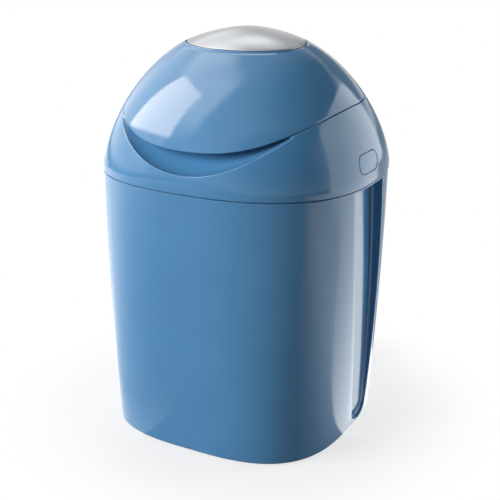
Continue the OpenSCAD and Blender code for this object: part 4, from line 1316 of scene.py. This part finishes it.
def lamp(name, azimuth, elevation, size, radiance):
    """A large soft box that lights the colours and doesn't show in the gloss."""
    light = bpy.data.lights.new(name, "AREA")
    light.shape = "SQUARE"
    light.size = size
    light.energy = radiance * math.pi * size**2
    obj = bpy.data.objects.new(name, light)
    bpy.context.scene.collection.objects.link(obj)
    obj.location = MIDDLE + heading(azimuth, elevation) * LAMP_DISTANCE
    obj.rotation_euler = (MIDDLE - obj.location).to_track_quat("-Z", "Y").to_euler()
    unseen(obj, "glossy", "transmission")


def sheet_material(name, level, fades, colour):
    """A glow of that level that fades away towards the sheet's edges."""
    material = bpy.data.materials.new(name)
    tree = empty_tree(material)
    place = tree.place("UV")
    inside = 1
    for axis, fade in enumerate(fades):
        along = tree.node("SeparateXYZ", {}, {0: place}, axis)
        inside = along.ramp(0, fade) * (1 - along).ramp(0, fade) * inside
    glow = tree.node("Emission", {}, {"Color": (*colour, 1), "Strength": level})
    clear = tree.node("BsdfTransparent", {}, {})
    output_of(tree, tree.node("MixShader", {}, {0: inside, 1: clear, 2: glow}))
    return material


def sheet(name, corners, level, fades=(SHARP, SHARP), colour=(1, 1, 1)):
    """A bright or dark sheet around the bin that only the gloss shows, soft by shares of its sides."""
    piece = started(bpy.ops.mesh.primitive_plane_add, size=1)
    piece.name = name
    for vertex, corner in zip(piece.data.vertices, corners):
        vertex.co = corner
    piece.data.materials.append(sheet_material(name, level, fades, colour))
    unseen(piece, "camera", "diffuse", "shadow", "transmission", "volume_scatter")


def upright(first, last, low, high):
    """The corners of an upright sheet between two places on the floor."""
    return [(*first, low), (*last, low), (*first, high), (*last, high)]


def table_sheet(step, places):
    """The corners of a sheet just over the table; a higher step lies over a lower one."""
    return [(*place, TABLE_STEP * step) for place in places]


def aimed(distance, directions):
    """The corners of a sheet that the crown sees in those directions."""
    return [Vector((0, AXIS.y, HEIGHT)) + heading(*direction) * distance for direction in directions]


stage_floor()
studio_world(0.08)
# The lamps' azimuth, elevation, size and radiance
lamp("key", -39, 24.5, 1.9, 10.6)
lamp("side_fill", 132, 15, 1.1, 10.5)
lamp("rear_fill", -150, 35, 1.6, 2.5)
sheet(
    "window", [(-1.62, -0.03, 0.77), (-1.03, -1.05, 1.12), (-1.04, -0.06, 1.48), (-0.77, -0.54, 1.63)],
    9.3, colour=(1.0, 0.90, 0.80),
)
sheet("side_window", upright((1.20, 0.05), (0.62, 2.41), 0, 1.25), 2.6)

for name, step, corners, level, fades in [
    ("side_table", 5, [(0.08, -0.05), (1.25, 0.60), (0.06, 0.10), (0.75, 1.55)], 2.6, (SHARP, SHARP)),
    ("side_corner", 4, [(0.7, 0.30), (1.2, 0.05), (0.9, 0.5), (1.25, 0.72)], 2.6, (SHARP, SHARP)),
    ("rear_table", 3, [(0.06, 0.06), (0.75, 1.50), (-0.1, 0.1), (-0.6, 2.0)], 0.6, (SHARP, 0.1)),
    ("right_table", 2, [(0.03, -0.10), (1.1, -0.65), (0.08, 0.1), (1.25, 0.9)], 1.9, (SHARP, 0.25)),
    ("front_left_table", 3, [(0.0, -0.08), (-1.3, -2.6), (-0.08, 0.03), (-3.2, 0.6)], 2.1, (SHARP, 0.4)),
    ("left_table", 2, [(-0.06, -0.25), (-3.2, -1.2), (-0.06, 1.6), (-2.6, 2.9)], 1.75, (SHARP, 0.1)),
]:
    sheet(name, table_sheet(step, corners), level, fades)

for name, distance, directions, level, fades in [
    ("left_wall", 2.8, [(-45, -6), (-130, -6), (-45, 70), (-125, 70)], 2.1, (0.2, 0.1)),
    ("left_halo", 2.4, [(-34, 22), (-108, 22), (-30, 78), (-116, 78)], 3.8, (0.35, 0.35)),
    ("left_sky", 1.9, [(-78, 37), (-134, 38), (-78, 72), (-134, 66)], 3.9, (0.35, 0.3)),
    ("left_shoulder", 1.7, [(-112, 20), (-150, 20), (-112, 46), (-150, 44)], 2.2, (0.3, 0.3)),
    ("high_glow", 1.6, [(-120, 44), (-174, 38), (-124, 62), (-174, 58)], 3.9, (0.35, 0.3)),
    ("rear_shade", 2.6, [(163, 1), (198, 1), (163, 27), (198, 27)], 0.25, (0.2, 0.25)),
]:
    sheet(name, aimed(distance, directions), level, fades)

sheet("right_shade", upright((-0.6, -2.6), (3.0, 0.3), 0, 3.0), 0.1, (0.35, 0.35))
sheet(
    "high_shade", [(-0.3, -1.6, 1.9), (2.8, -1.6, 1.9), (-0.3, 3.6, 1.9), (2.8, 3.6, 1.9)],
    0.1, (0.3, 0.3),
)

CAMERA_AZIMUTH = 28.84
CAMERA_ELEVATION = 18.25
CAMERA_DISTANCE = 1.1366
CAMERA_AIM = Vector((0, AXIS.y, 0.210))
CAMERA_LENS = 76.94
CAMERA_SHIFT = (0.009, -0.048)

camera = bpy.data.objects.new("camera", bpy.data.cameras.new("camera"))
bpy.context.scene.collection.objects.link(camera)
camera.location = CAMERA_AIM + heading(CAMERA_AZIMUTH, CAMERA_ELEVATION) * CAMERA_DISTANCE
camera.rotation_euler = (CAMERA_AIM - camera.location).to_track_quat("-Z", "Y").to_euler()
camera.data.lens = CAMERA_LENS
camera.data.shift_x, camera.data.shift_y = CAMERA_SHIFT
bpy.context.scene.camera = camera
bpy.context.scene.view_settings.view_transform = "Standard"
